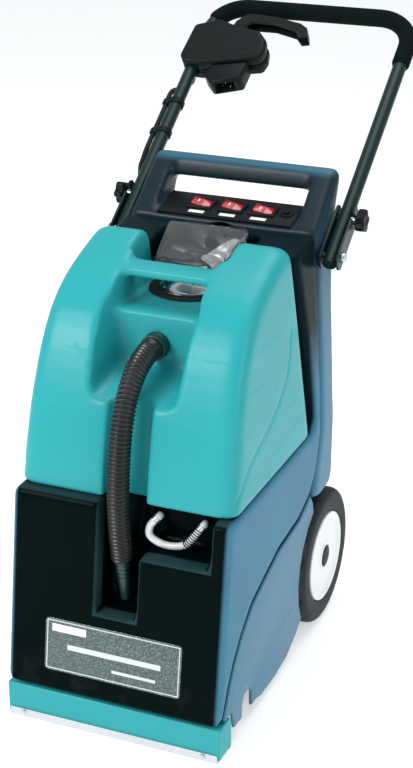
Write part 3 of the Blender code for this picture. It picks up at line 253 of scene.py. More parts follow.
def rounded(profile, radius, steps=4, closed=True):
    """A profile whose corners are replaced by short curves: each corner becomes points on the
    quadratic curve from the point before it, through it, to the point after it."""
    profile = np.asarray(profile, float)
    before, after = np.roll(profile, 1, axis=0), np.roll(profile, -1, axis=0)
    reach_in = np.linalg.norm(before - profile, axis=1, keepdims=True)
    reach_out = np.linalg.norm(after - profile, axis=1, keepdims=True)
    cut_in = profile + (before - profile) * np.minimum(radius / reach_in, 0.45)
    cut_out = profile + (after - profile) * np.minimum(radius / reach_out, 0.45)
    t = np.linspace(0, 1, steps)[None, :, None]
    curve = (1 - t) ** 2 * cut_in[:, None] + 2 * t * (1 - t) * profile[:, None] + t ** 2 * cut_out[:, None]
    if closed:
        return curve.reshape(-1, profile.shape[1])
    middle = curve[1:-1].reshape(-1, profile.shape[1])
    return np.concatenate([profile[:1], middle, profile[-1:]])


def route(knots, step):
    """Evenly spaced points on a Catmull-Rom curve through the knots."""
    knots = np.asarray(knots, float)
    ends = np.concatenate([[knots[0] * 2 - knots[1]], knots, [knots[-1] * 2 - knots[-2]]])
    a, b, c, d = (ends[i:len(ends) - 3 + i, None] for i in range(4))
    t = np.linspace(0, 1, 24, endpoint=False)[None, :, None]
    fine = 0.5 * (2 * b + (c - a) * t + (2 * a - 5 * b + 4 * c - d) * t ** 2 + (3 * b - a - 3 * c + d) * t ** 3)
    fine = np.concatenate([fine.reshape(-1, 3), knots[-1:]])
    return respaced(fine, step)


def respaced(points, step):
    """The same line with evenly spaced points."""
    run = np.concatenate([[0], np.cumsum(np.linalg.norm(np.diff(points, axis=0), axis=1))])
    spots = np.linspace(0, run[-1], max(2, int(round(run[-1] / step))) + 1)
    return np.stack([np.interp(spots, run, points[:, i]) for i in range(3)], axis=1)


def line_length(points):
    return float(np.linalg.norm(np.diff(points, axis=0), axis=1).sum())


def carried_frames(line):
    """Tangents of a line, and a side direction carried along it without twisting."""
    tangent = unit(np.gradient(line, axis=0))
    side = frame_about(tangent[0])[1]
    sides = [side]
    for heading in tangent[1:]:
        side = side - heading * side.dot(heading)
        side = side / np.linalg.norm(side)
        sides.append(side)
    sides = np.array(sides)
    return tangent, sides, np.cross(tangent, sides)


def piped(name, line, radius, steps=32):
    """A round pipe along a line: line + radius * (cos a * side + sin a * up), where the radius may
    change from point to point.  Its UV map holds the turn and the run along the line in metres."""
    _, side, up = carried_frames(line)
    radius = np.broadcast_to(np.asarray(radius, float), (len(line),))
    angle = np.linspace(0, 2 * math.pi, steps, endpoint=False)
    ring = np.cos(angle)[None, :, None] * side[:, None] + np.sin(angle)[None, :, None] * up[:, None]
    points = line[:, None] + radius[:, None, None] * ring
    run = np.concatenate([[0], np.cumsum(np.linalg.norm(np.diff(line, axis=0), axis=1))])
    uv = np.stack(np.broadcast_arrays(np.abs(angle / math.pi - 1)[None, :], run[:, None]), axis=-1)
    return closed_grid(name, points, uv)


def arc_points(centre, radius, start, end, steps):
    """Points (x, v) on an arc in the handle's plane, angles in degrees."""
    angle = np.radians(np.linspace(start, end, steps + 1))
    return np.stack([centre[0] + radius * np.cos(angle), centre[1] + radius * np.sin(angle)], axis=1)


def handle_line(first_v, last_v=None, last_turn=180):
    """The handle's centreline up the right tube, across the bar and round the left bend."""
    spots = [np.array([[HANDLE_X, first_v]])]
    for side, start, end in ((1, 0, 90), (-1, 90, last_turn)):
        spots.append(arc_points((side * (HANDLE_X - BEND_R), GRIP_LINE - BEND_R), BEND_R, start, end, 24))
    if last_v is not None:
        spots.append(np.array([[-HANDLE_X, last_v]]))
    flat = np.concatenate(spots)
    line = BOX_DATUM + flat[:, :1] * X_AXIS + flat[:, 1:] * ALONG
    return respaced(line, 0.004)


def finishing(piece, bevel=0.0, segments=2, angle=32, soft_angle=None):
    """Rounds a piece's edges with a live bevel and shades it smooth by angle."""
    if bevel:
        edge = piece.modifiers.new("edges", "BEVEL")
        edge.width = bevel
        edge.segments = segments
        edge.limit_method = "ANGLE"
        edge.angle_limit = math.radians(angle)
        edge.harden_normals = False
    piece.data.shade_smooth()
    piece.data.set_sharp_from_angle(angle=math.radians(soft_angle or (60 if bevel else 40)))
    return piece


def welded_copy(node, name):
    """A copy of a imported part's mesh with its loose triangles joined up."""
    work = bmesh.new()
    work.from_mesh(NODES[node].data)
    bmesh.ops.remove_doubles(work, verts=work.verts, dist=2e-6)
    bmesh.ops.dissolve_limit(work, angle_limit=0.002, verts=work.verts, edges=work.edges)
    mesh = bpy.data.meshes.new(name)
    work.to_mesh(mesh)
    work.free()
    piece = bpy.data.objects.new(name, mesh)
    bpy.context.scene.collection.objects.link(piece)
    return piece


def softened_copy(node, name, voxel, passes):
    """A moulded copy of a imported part: remade on an even grid and relaxed, so that every edge
    gets the soft radius of a blow moulding.  The relaxing moves each point half way to its
    neighbours' mean, then back a little, so that the shell doesn't shrink."""
    piece = welded_copy(node, name)
    remesh = piece.modifiers.new("even", "REMESH")
    remesh.mode = "VOXEL"
    remesh.voxel_size = voxel
    bpy.context.view_layer.update()
    graph = bpy.context.evaluated_depsgraph_get()
    mesh = bpy.data.meshes.new_from_object(piece.evaluated_get(graph))
    piece.modifiers.clear()
    piece.data = mesh
    mesh.name = name
    relax(mesh, passes)
    piece.data.shade_smooth()
    return piece


def relax(mesh, passes):
    count = len(mesh.vertices)
    points = np.zeros(count * 3, np.float32)
    mesh.vertices.foreach_get("co", points)
    points = points.reshape(-1, 3).astype(np.float64)
    edges = np.zeros(len(mesh.edges) * 2, np.int32)
    mesh.edges.foreach_get("vertices", edges)
    edges = edges.reshape(-1, 2)
    ends = np.concatenate([edges[:, 0], edges[:, 1]])
    others = np.concatenate([edges[:, 1], edges[:, 0]])
    weight = np.bincount(ends, minlength=count)[:, None]
    for _ in range(passes):
        for pull in (0.60, -0.32):
            mean = np.stack([np.bincount(ends, points[others, i], minlength=count) for i in range(3)], axis=1)
            points += pull * (mean / np.maximum(weight, 1) - points)
    mesh.vertices.foreach_set("co", points.astype(np.float32).ravel())
    mesh.update()


TANK_GROOVE = [
    (0.213, 0.581), (0.234, 0.524), (0.233, 0.471), (0.213, 0.424), (0.161, 0.391), (0.117, 0.376), (0.077, 0.360),
    (0.045, 0.335), (0.022, 0.320),
]
FRONT_LEAN = 0.145
CHANNEL_HALF, CHANNEL_FOOT = 0.0285, 0.1655
NOTCH_HALF, NOTCH_MIDDLE, NOTCH_FOOT = 0.0560, 0.0665, 0.2495
GROOVE_WIDTH = 0.0034
GROOVE_DEPTH = 0.0016


def press_groove(mesh):
    """Presses the S-shaped groove into a tank's two flanks: each point there moves inwards by
    depth * exp(-(distance / width)^2), its distance being measured to the groove's line in YZ."""
    points = np.zeros(len(mesh.vertices) * 3, np.float32)
    mesh.vertices.foreach_get("co", points)
    points = points.reshape(-1, 3)
    flat = np.array([(0.0, y, z) for y, z in TANK_GROOVE])
    line = route(flat, 0.002)[:, 1:]
    near = np.where(np.abs(points[:, 0]) > 0.138)[0]
    away = np.min(np.linalg.norm(points[near, None, 1:] - line[None], axis=2), axis=1)
    press = GROOVE_DEPTH * np.exp(-(away / GROOVE_WIDTH) ** 2)
    points[near, 0] -= np.sign(points[near, 0]) * press
    mesh.vertices.foreach_set("co", points.ravel())
    mesh.update()


# ---- shader helpers ---------------------------------------------------------------------
class Value:
    """A shader socket that adds a Math node for each operator used on it."""

    def __init__(self, finish, socket):
        self.finish = finish
        self.socket = socket

    def _with(self, operation, first, second=0.0, third=0.0):
        return self.finish.node("ShaderNodeMath", {"operation": operation}, {0: first, 1: second, 2: third})

    def __add__(self, other):
        return self._with("ADD", self, other)

    def __radd__(self, other):
        return self._with("ADD", other, self)

    def __sub__(self, other):
        return self._with("SUBTRACT", self, other)

    def __rsub__(self, other):
        return self._with("SUBTRACT", other, self)

    def __mul__(self, other):
        return self._with("MULTIPLY", self, other)

    def __rmul__(self, other):
        return self._with("MULTIPLY", other, self)

    def __truediv__(self, other):
        return self._with("DIVIDE", self, other)

    def __abs__(self):
        return self._with("ABSOLUTE", self)

    def __mod__(self, other):
        return self._with("FLOORED_MODULO", self, other)

    def sine(self):
        return self._with("SINE", self)

    def at_most(self, other):
        return self._with("MINIMUM", self, other)

    def at_least(self, other):
        return self._with("MAXIMUM", self, other)

    def step(self, low, high):
        """0 below low, 1 above high, with a smooth ramp between."""
        return self.finish.node(
            "ShaderNodeMapRange", {"interpolation_type": "SMOOTHSTEP"},
            {"Value": self, "From Min": low, "From Max": high, "To Min": 0.0, "To Max": 1.0})


class Finish:
    """One material, its shader, and the one method that adds any other node."""

    def __init__(self, name, metallic=0.0, coat=0.0, coat_roughness=0.1, transmission=0.0, ior=1.5, sheen=0.0,
                 specular=0.5):
        self.material = bpy.data.materials.new(name)
        self.material.use_nodes = True
        self.tree = self.material.node_tree
        self.shader = self.tree.nodes["Principled BSDF"]
        for socket, amount in (("Metallic", metallic), ("Coat Weight", coat), ("Coat Roughness", coat_roughness),
                               ("Transmission Weight", transmission), ("IOR", ior), ("Sheen Weight", sheen),
                               ("Specular IOR Level", specular)):
            self.shader.inputs[socket].default_value = amount

    def feed(self, socket, value):
        if isinstance(value, Value):
            self.tree.links.new(value.socket, socket)
        elif socket.type == "RGBA" and len(value) == 3:
            socket.default_value = (*value, 1.0)
        else:
            socket.default_value = value

    def node(self, kind, settings=None, inputs=None, output=0):
        made = self.tree.nodes.new(kind)
        for key, value in (settings or {}).items():
            setattr(made, key, value)
        for key, value in (inputs or {}).items():
            self.feed(made.inputs[key], value)
        return Value(self, made.outputs[output])

    def place(self, scale=(1.0, 1.0, 1.0)):
        """Object coordinates, stretched."""
        spot = self.node("ShaderNodeTexCoord", output="Object")
        return self.node("ShaderNodeMapping", inputs={"Vector": spot, "Scale": scale})

    def parts(self, vector):
        split = self.node("ShaderNodeSeparateXYZ", inputs={"Vector": vector})
        outputs = split.socket.node.outputs
        return tuple(Value(self, outputs[i]) for i in range(3))

    def noise(self, scale, detail=3.0, roughness=0.55, place=None):
        return self.node("ShaderNodeTexNoise", {"noise_dimensions": "3D"},
                         {"Vector": place or self.place(), "Scale": scale, "Detail": detail, "Roughness": roughness})

    def cells(self, scale, place=None, feature="F1", output="Distance"):
        return self.node("ShaderNodeTexVoronoi", {"feature": feature},
                         {"Vector": place or self.place(), "Scale": scale}, output)

    def mix(self, amount, first, second):
        """A colour between two colours."""
        return self.node("ShaderNodeMix", {"data_type": "RGBA"}, {0: amount, 6: first, 7: second}, 2)

    def colour(self, value):
        self.feed(self.shader.inputs["Base Color"], value)

    def roughness(self, value):
        self.feed(self.shader.inputs["Roughness"], value)

    def bump(self, height, distance, strength=1.0):
        bumped = self.node("ShaderNodeBump", inputs={"Height": height, "Distance": distance, "Strength": strength})
        self.feed(self.shader.inputs["Normal"], bumped)

    def scuffs(self, amount=0.5):
        """Fine crossing scratches that show in the gloss only."""
        one = self.noise(60.0, 2.0, 0.5, self.place((1.0, 0.12, 1.0))).step(0.62, 0.70)
        two = self.noise(70.0, 2.0, 0.5, self.place((0.12, 1.0, 1.3))).step(0.63, 0.70)
        return (one + two).at_most(1.0) * amount


def shade(colour, factor):
    return tuple(min(1.0, c * factor) for c in colour)


FINISHES = {}


def finish_once(name, maker):
    """The named material, made the first time that it is asked for."""
    if name not in FINISHES:
        FINISHES[name] = maker(name)
    return FINISHES[name]


def moulded(name, colour, roughness, grain=700.0, depth=0.00006, coat=0.0, dusty=0.0, specular=0.5):
    """Moulded plastic: slow drifts of colour, fine grain, faint scuffs, and dust low down."""
    finish = Finish(name, coat=coat, coat_roughness=0.12, specular=specular)
    drift = finish.noise(6.0, 4.0)
    fine = finish.noise(grain, 2.0)
    scuffs = finish.scuffs(0.18)
    _, _, height = finish.parts(finish.place())
    base = finish.mix(drift, shade(colour, 0.86), shade(colour, 1.14))
    if dusty:
        low = (1.0 - height.step(0.004, 0.075)) * finish.noise(35.0, 4.0).step(0.38, 0.66) * dusty
        base = finish.mix(low, base, (0.20, 0.19, 0.17))
        roughness = roughness + low * 0.3
    finish.colour(base)
    finish.roughness((drift - 0.5) * 0.12 + scuffs * 0.5 + roughness + (fine - 0.5) * 0.08)
    finish.bump(fine + finish.noise(45.0, 2.0) * 3.0, depth)
    return finish.material


def tank_finish(name):
    """Semi-gloss turquoise blow moulding with slight waves in its skin."""
    tint = tuple(colours().tank)
    finish = Finish(name, coat=0.06, coat_roughness=0.35, specular=0.22)
    drift = finish.noise(5.0, 3.0)
    flow = finish.noise(14.0, 3.0, 0.5, finish.place((1.0, 1.0, 0.35)))
    fine = finish.noise(850.0, 2.0)
    base = finish.mix(drift, shade(tint, 0.90), shade(tint, 1.10))
    base = finish.mix(flow.step(0.45, 0.85) * 0.25, base,
                      (tint[0] + 0.03, tint[1] * 1.08, tint[2] * 1.06))
    finish.colour(base)
    finish.roughness((flow - 0.5) * 0.14 + 0.36 + finish.scuffs(0.10))
    finish.bump(fine * 0.4 + flow * 6.0 + finish.noise(38.0, 2.0) * 2.0, 0.00010)
    return finish.material


def body_finish(name):
    """One green-black moulding: glossy in front, satin round the sides, where a paler slate is painted as the side
    lamp's sheen (painted light).
    """
    front, side = tuple(colours().front), tuple(colours().side)
    finish = Finish(name, coat_roughness=0.25, specular=0.02)
    across, depth, height = finish.parts(finish.place())
    # Painted sheen: where this mask is high, the sides are painted pale slate for the side lamp's light on them; it
    # also sets their coat and roughness.
    painted_sheen_mask = abs(across).step(0.1380, 0.1450).at_least(depth.step(0.085, 0.16) * 0.04)
    finish.feed(finish.shader.inputs["Coat Weight"], painted_sheen_mask * 0.20)
    drift = finish.noise(7.0, 4.0)
    fine = finish.noise(750.0, 2.0)
    scuffs = finish.scuffs(0.12)
    dust = (1.0 - height.step(0.05, 0.12)) * finish.noise(40.0, 4.0).step(0.45, 0.72) * 0.03
    # Painted highlight: thin pale teal lines on the rims of the channel and the notch, along the deck's top edge and
    # down the front corners, near the front face only, stand for lamp glints on these edges.
    channel = (abs(across) - CHANNEL_HALF).at_least(CHANNEL_FOOT - height)
    notch = (abs(across - NOTCH_MIDDLE) - NOTCH_HALF).at_least(NOTCH_FOOT - height)
    rim = 1.0 - abs(channel.at_most(notch)).step(0.0006, 0.0034)
    rim = rim.at_least(height.step(0.3075, 0.3105)).at_least(1.0 - abs(abs(across) - 0.1445).step(0.0006, 0.0030))
    near_front = 1.0 - (depth - height * FRONT_LEAN).step(-0.0125, -0.0065)
    dark = finish.mix(drift, shade(front, 0.7), shade(front, 1.5))
    dark = finish.mix(rim * near_front * 0.75, dark, (0.022, 0.060, 0.066))
    # Painted sheen: slate is the paler colour painted on the sides for the side lamp's light; dark is the moulding's
    # own front colour.
    slate = finish.mix(drift, shade(side, 0.85), shade(side, 1.25))
    finish.colour(finish.mix(dust, finish.mix(painted_sheen_mask, dark, slate), (0.20, 0.20, 0.18)))
    finish.roughness(painted_sheen_mask * 0.20 + 0.20 + (drift - 0.5) * 0.14 + scuffs * 0.45 + dust)
    finish.bump(fine * 0.5 + finish.noise(30.0, 2.0) * 3.0, 0.00008)
    return finish.material


def side_finish(name):
    """Satin moulding with painted light: the flanks and the carry bar's top edge are painted pale slate as the lamps'
    sheen and highlight, darker between them.
    """
    side = tuple(colours().side)
    finish = Finish(name, coat=0.05, coat_roughness=0.25, specular=0.20)
    across, _, height = finish.parts(finish.place())
    # Painted sheen and highlight: this mask paints the flanks pale, as lit by the side lamp, and the carry bar's top
    # edge as a painted highlight.
    painted_sheen_mask = abs(across).step(0.1280, 0.1440).at_least(height.step(0.6300, 0.6400) * 0.6)
    drift = finish.noise(6.0, 4.0)
    fine = finish.noise(750.0, 2.0)
    base = finish.mix(painted_sheen_mask, shade(side, 0.09), finish.mix(drift, shade(side, 0.92), shade(side, 1.08)))
    low = (1.0 - height.step(0.004, 0.075)) * finish.noise(35.0, 4.0).step(0.42, 0.70) * 0.15
    finish.colour(finish.mix(low, base, (0.20, 0.19, 0.17)))
    finish.roughness((drift - 0.5) * 0.12 + finish.scuffs(0.06) + 0.38 + low * 0.3 + (fine - 0.5) * 0.08)
    finish.bump(fine + finish.noise(45.0, 2.0) * 3.0, 0.00006)
    return finish.material


def black_plastic(name):
    return moulded(name, (0.0050, 0.0075, 0.0080), 0.42, grain=900.0, depth=0.00009, specular=0.12)


def handle_paint(name):
    """Dark powder coat over steel: an orange-peel skin with small chips."""
    finish = Finish(name, coat=0.04, coat_roughness=0.2, specular=0.20)
    peel = finish.noise(420.0, 2.0)
    drift = finish.noise(12.0, 3.0)
    chips = finish.noise(160.0, 4.0).step(0.735, 0.76)
    base = finish.mix(drift, (0.004, 0.016, 0.016), (0.008, 0.028, 0.026))
    finish.colour(finish.mix(chips, base, (0.10, 0.11, 0.11)))
    finish.roughness(0.30 + (peel - 0.5) * 0.15 + chips * 0.2)
    finish.bump(peel - chips * 1.2, 0.00012)
    return finish.material


def foam_finish(name):
    """Closed-cell foam sleeve: small open pores in a dull dark skin."""
    finish = Finish(name, specular=0.05)
    pores = finish.cells(900.0)
    lumps = finish.noise(120.0, 3.0)
    dark = pores.step(0.10, 0.34)
    finish.colour(finish.mix(dark, (0.002, 0.004, 0.004), finish.mix(lumps, (0.002, 0.0045, 0.0045), (0.005, 0.009, 0.009))))
    finish.roughness(0.74 + lumps * 0.16)
    finish.bump(dark * 1.0 + lumps * 1.4, 0.00022)
    return finish.material


def rubber_finish(name):
    """Dull black rubber or cable sheath with a trace of bloom."""
    finish = Finish(name, specular=0.20)
    bloom = finish.noise(30.0, 4.0)
    fine = finish.noise(1100.0, 2.0)
    finish.colour(finish.mix(bloom.step(0.40, 0.75), (0.007, 0.008, 0.008), (0.020, 0.022, 0.023)))
    finish.roughness(0.52 + bloom * 0.22)
    finish.bump(fine + bloom * 2.0, 0.00006)
    return finish.material


def hose_finish(name):
    """Glossy black corrugated plastic, duller and dustier down in the grooves."""
    finish = Finish(name, coat=0.20, coat_roughness=0.12, specular=0.35)
    wear = finish.noise(90.0, 3.0)
    fine = finish.noise(900.0, 2.0)
    along = finish.node("ShaderNodeUVMap", {"uv_map": "route"})
    _, run, _ = finish.parts(along)
    groove = (run * (2 * math.pi / sizes().hose_pitch)).sine() * 0.5 + 0.5
    finish.colour(finish.mix(groove * wear, (0.004, 0.005, 0.005), (0.012, 0.014, 0.015)))
    finish.roughness(0.24 + wear * 0.16 + (1.0 - groove) * 0.12)
    finish.bump(fine, 0.00005)
    return finish.material


def braided_finish(name):
    """Milky tubing whose dark braid shows as checks along its middle stretch."""
    finish = Finish(name, coat=0.3, coat_roughness=0.1)
    around, run, _ = finish.parts(finish.node("ShaderNodeUVMap", {"uv_map": "route"}))
    left = (run * 220.0 + around * 4.0) % 1.0 - 0.5
    right = (run * 220.0 - around * 4.0) % 1.0 - 0.5
    checks = (1.0 - abs(left).step(0.16, 0.24)) * (1.0 - abs(right).step(0.16, 0.24))
    middle = run.step(0.052, 0.056) * (1.0 - run.step(0.090, 0.094))
    haze = finish.noise(80.0, 3.0)
    milky = finish.mix(haze, (0.62, 0.66, 0.67), (0.86, 0.88, 0.88))
    finish.colour(finish.mix(checks * middle, milky, (0.02, 0.03, 0.03)))
    finish.roughness(0.16 + haze * 0.12)
    finish.bump(checks * middle, 0.00012)
    return finish.material


def clear_finish(name):
    """Clear hood moulding with faint flow marks and a breath of haze."""
    finish = Finish(name, transmission=1.0, ior=1.48, coat=0.2, coat_roughness=0.05)
    haze = finish.noise(18.0, 3.0)
    finish.colour(finish.mix(haze, (0.84, 0.90, 0.94), (0.94, 0.97, 0.98)))
    finish.roughness(0.03 + haze.step(0.45, 0.8) * 0.10)
    finish.bump(haze * 1.0 + finish.noise(40.0, 2.0) * 0.2, 0.00008)
    return finish.material


def metal(name, colour, roughness, stretch, depth=0.00003):
    """Plated or drawn metal: long fine lines, clouding in the gloss, and small dull spots."""
    finish = Finish(name, metallic=1.0)
    lines = finish.noise(260.0, 3.0, 0.6, finish.place(stretch))
    cloud = finish.noise(40.0, 4.0)
    spots = finish.noise(330.0, 3.0).step(0.66, 0.74)
    finish.colour(finish.mix(spots * 0.5 + cloud * 0.3, colour, shade(colour, 0.62)))
    finish.roughness(roughness + (lines - 0.5) * 0.22 + cloud * 0.10 + spots * 0.15)
    finish.bump(lines, depth)
    return finish.material


def zinc(name):
    return metal(name, (0.60, 0.62, 0.63), 0.30, (1.0, 1.0, 1.0))


def steel(name):
    return metal(name, (0.55, 0.56, 0.58), 0.26, (0.05, 1.0, 1.0))


def lip_finish(name):
    """Satin aluminium strip, bright, with lengthwise scratches."""
    return metal(name, (0.66, 0.68, 0.70), 0.45, (0.03, 1.0, 1.0))


def brass(name):
    return metal(name, (0.62, 0.46, 0.20), 0.30, (1.0, 1.0, 1.0))


def copper(name):
    return metal(name, (0.58, 0.30, 0.16), 0.36, (1.0, 1.0, 0.2))


def white_plastic(name):
    """White moulding with grime gathered in a few streaks."""
    finish = Finish(name, coat=0.1)
    cloud = finish.noise(25.0, 4.0)
    fine = finish.noise(800.0, 2.0)
    grime = cloud.step(0.55, 0.85) * 0.22
    finish.colour(finish.mix(grime, (0.80, 0.81, 0.80), (0.42, 0.41, 0.38)))
    finish.roughness(0.36 + grime * 0.5 + (fine - 0.5) * 0.08)
    finish.bump(fine, 0.00005)
    return finish.material


def tyre_finish(name):
    """Dark moulded tyre: dull, with dust on the running band and fine turning lines."""
    finish = Finish(name, specular=0.15)
    across, back, up = finish.parts(finish.place())
    reach = ((back - WHEEL_SPOT[1]) * (back - WHEEL_SPOT[1]) + (up - WHEEL_SPOT[2]) * (up - WHEEL_SPOT[2]))
    running = reach.step(0.090 ** 2, 0.0968 ** 2)
    cloud = finish.noise(50.0, 4.0)
    lines = (reach * 24000.0).sine()
    finish.colour(finish.mix(running * cloud.step(0.35, 0.7) * 0.6, finish.mix(cloud, (0.006, 0.009, 0.011), (0.016, 0.021, 0.025)),
                             (0.075, 0.072, 0.066)))
    finish.roughness(0.44 + cloud * 0.20 + running * 0.16)
    finish.bump(lines * 0.5 + finish.noise(700.0, 2.0), 0.00008)
    return finish.material


def rocker_finish(name):
    """Glossy red switch cap with a plain white bar near its raised end."""
    tint = tuple(colours().switch)
    finish = Finish(name, coat=0.6, coat_roughness=0.06)
    across, back, up = finish.parts(finish.place())
    spacing = SWITCH_X[1] - SWITCH_X[0]
    offset = (across - (SWITCH_X[0] - spacing / 2)) % spacing - spacing / 2
    bar = 1.0 - abs(offset + 0.0045).step(0.0006, 0.0008)
    width = 1.0 - abs(back - PANEL_CENTRE[1]).step(0.0032, 0.0035)
    cloud = finish.noise(60.0, 3.0)
    finish.colour(finish.mix(bar * width, finish.mix(cloud, shade(tint, 0.85), shade(tint, 1.1)), (0.85, 0.85, 0.85)))
    finish.roughness(0.16 + cloud * 0.12)
    finish.bump(finish.noise(600.0, 2.0), 0.00003)
    return finish.material


def label_finish(name):
    """Sparkling dark label: metal flakes in a teal-black field, a silver edge, a plain white
    block and two plain pale bars."""
    finish = Finish(name, coat=0.5, coat_roughness=0.08)
    across, _, height = finish.parts(finish.place())
    up = (height - 0.115) * 1.0105
    flakes = finish.cells(1500.0, output="Color")
    bright, _, _ = finish.parts(flakes)
    sparkle = bright.step(0.80, 0.98)
    field = finish.mix(sparkle, finish.mix(finish.noise(30.0, 3.0), (0.012, 0.030, 0.030), (0.030, 0.060, 0.058)),
                       (0.30, 0.42, 0.42))

    def inside(value, low, high, soft=0.0003):
        return value.step(low - soft, low + soft) * (1.0 - value.step(high - soft, high + soft))

    inner = inside(across, -0.0912, 0.0912) * inside(up, -0.0332, 0.0332)
    edge = inside(across, -0.0898, 0.0898) * inside(up, -0.0318, 0.0318)
    rim = inner * (1.0 - edge)
    block = inside(across, -0.084, -0.037) * inside(up, 0.0185, 0.0285)
    bar = inside(across, -0.062, 0.066) * inside(up, -0.0035, 0.0035)
    short_bar = inside(across, 0.000, 0.060) * inside(up, -0.0215, -0.0175)
    marks = block.at_least(bar * 0.75).at_least(short_bar * 0.75)
    field = finish.mix(rim * 0.9, field, (0.60, 0.65, 0.65))
    finish.colour(finish.mix(marks, field, (0.78, 0.82, 0.80)))
    finish.roughness(0.30 - sparkle * 0.12 + marks * 0.1)
    finish.feed(finish.shader.inputs["Metallic"], (sparkle * 0.7 + rim * 0.5).at_most(1.0) * (1.0 - marks))
    finish.bump(bright, 0.00004)
    return finish.material


def bristle_finish(name):
    """Nylon tufts: a sheen along the fibres and paler tips."""
    finish = Finish(name, sheen=0.3)
    across, back, up = finish.parts(finish.place())
    fibres = finish.noise(900.0, 2.0, 0.5)
    reach = (back - BRUSH_SPOT[1]) * (back - BRUSH_SPOT[1]) + (up - BRUSH_SPOT[2]) * (up - BRUSH_SPOT[2])
    tips = reach.step(0.022 ** 2, 0.031 ** 2)
    finish.colour(finish.mix(tips, finish.mix(fibres, (0.015, 0.03, 0.05), (0.05, 0.08, 0.11)), (0.20, 0.25, 0.28)))
    finish.roughness(0.45 + fibres * 0.3)
    finish.bump(fibres, 0.0002)
    return finish.material


def cuff_finish(name):
    return moulded(name, (0.004, 0.028, 0.024), 0.36, coat=0.2)


def collar_finish(name):
    return moulded(name, (0.020, 0.024, 0.022), 0.34, coat=0.2)


def red_ball_finish(name):
    return moulded(name, (0.45, 0.03, 0.02), 0.35)


def translucent_white(name):
    return moulded(name, (0.70, 0.72, 0.70), 0.45)


SLOT_FINISH = {
    "gloss_black": ("front and side moulding", body_finish), "slate": ("slate moulding", side_finish),
    "teal": ("turquoise moulding", tank_finish), "steel": ("brushed steel", steel), "zinc": ("zinc plate", zinc),
    "white": ("white moulding", white_plastic), "black_plastic": ("black moulding", black_plastic),
    "rubber": ("black rubber", rubber_finish), "tyre": ("tyre rubber", tyre_finish), "foam": ("foam sleeve", foam_finish),
    "red": ("switch red", rocker_finish), "clear": ("clear moulding", clear_finish),
    "bristle": ("nylon bristle", bristle_finish), "copper": ("copper windings", copper), "brass": ("plain brass", brass),
    "dark_green": ("green-black moulding", cuff_finish), "handle_paint": ("powder coat", handle_paint),
    "label": ("sparkling label", label_finish),
}


def slot_material(slot):
    return finish_once(*SLOT_FINISH[slot])


def dress(piece, node, material=None, replace=True, slot=None):
    """Gives a piece its finish and its body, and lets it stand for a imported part."""
    slot = slot or SLOT_OF[node]
    piece.data.materials.clear()
    piece.data.materials.append(material or slot_material(slot))
    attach(piece, BODY_OF[node])
    if replace:
        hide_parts(node)
    return piece


def repaint(*nodes):
    """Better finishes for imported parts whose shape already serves."""
    for node in nodes:
        NODES[node].data.materials.clear()
        NODES[node].data.materials.append(slot_material(SLOT_OF[node]))


def tidy_copy(node, bevel, segments=2, material=None, angle=32):
    """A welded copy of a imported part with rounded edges, standing for it."""
    piece = finishing(welded_copy(node, node + "_finished"), bevel, segments, angle)
    return dress(piece, node, material)


def block(name, centre, axes, half, bevel, segments=3):
    """A rounded block: the eight corners centre +- half along three axes, then a bevel."""
    signs = np.array([(x, y, z) for z in (-1, 1) for y in (-1, 1) for x in (-1, 1)], float)
    corners = np.asarray(centre) + (signs * np.asarray(half)) @ np.asarray(axes)
    faces = [(0, 2, 3, 1), (4, 5, 7, 6), (0, 1, 5, 4), (2, 6, 7, 3), (0, 4, 6, 2), (1, 3, 7, 5)]
    return finishing(outward(mesh_object(name, corners, faces)), bevel, segments)


# ---- operators --------------------------------------------------------------------------
class CLEANER_OT_stage(bpy.types.Operator):
    """Set up the floor, the soft lights and the camera"""

    bl_idname = "cleaner.stage"
    bl_label = "Stage"

    def execute(self, context):
        floor = mesh_object("floor", np.array([(-9, -9, 0), (9, -9, 0), (9, 9, 0), (-9, 9, 0)], float)
                            - (0, 0, 0.0004), [(0, 1, 2, 3)])
        finish = Finish("pale floor", specular=0.2)
        finish.colour((0.90, 0.905, 0.905))
        finish.roughness(0.75)
        finish.shader.inputs["Emission Color"].default_value = (0.97, 0.985, 1.0, 1.0)
        finish.shader.inputs["Emission Strength"].default_value = 0.46
        floor.data.materials.append(finish.material)
        world = context.scene.world or bpy.data.worlds.new("studio")
        context.scene.world = world
        world.use_nodes = True
        backdrop = world.node_tree.nodes["Background"]
        backdrop.inputs["Color"].default_value = (0.96, 0.98, 1.0, 1.0)
        backdrop.inputs["Strength"].default_value = 0.50
        aim = Vector((0.0, 0.25, 0.35))
        for name, spot, size, power, tint in (
                ("key", (-1.3, -1.9, 2.0), 1.2, 62.0, (1.0, 0.99, 0.97)),
                ("side", (2.3, -0.4, 1.3), 1.3, 15.0, (0.90, 0.96, 1.0)),
                ("top", (0.2, 0.9, 2.6), 1.6, 28.0, (0.95, 0.98, 1.0))):
            data = bpy.data.lights.new(name, "AREA")
            data.size = size
            data.energy = power
            data.color = tint
            lamp = bpy.data.objects.new(name, data)
            lamp.location = spot
            lamp.rotation_euler = (aim - Vector(spot)).to_track_quat("-Z", "Y").to_euler()
            context.scene.collection.objects.link(lamp)
        data = bpy.data.cameras.new("view")
        data.lens = 79.2
        data.sensor_width = 36.0
        data.sensor_fit = "AUTO"
        data.clip_end = 50.0
        camera = bpy.data.objects.new("view", data)
        camera.location = (0.805, -1.630, 1.252)
        camera.rotation_euler = Vector((-0.3558, 0.8484, -0.3918)).to_track_quat("-Z", "Y").to_euler()
        context.scene.collection.objects.link(camera)
        context.scene.camera = camera
        context.scene.view_settings.view_transform = "Standard"
        return {"FINISHED"}


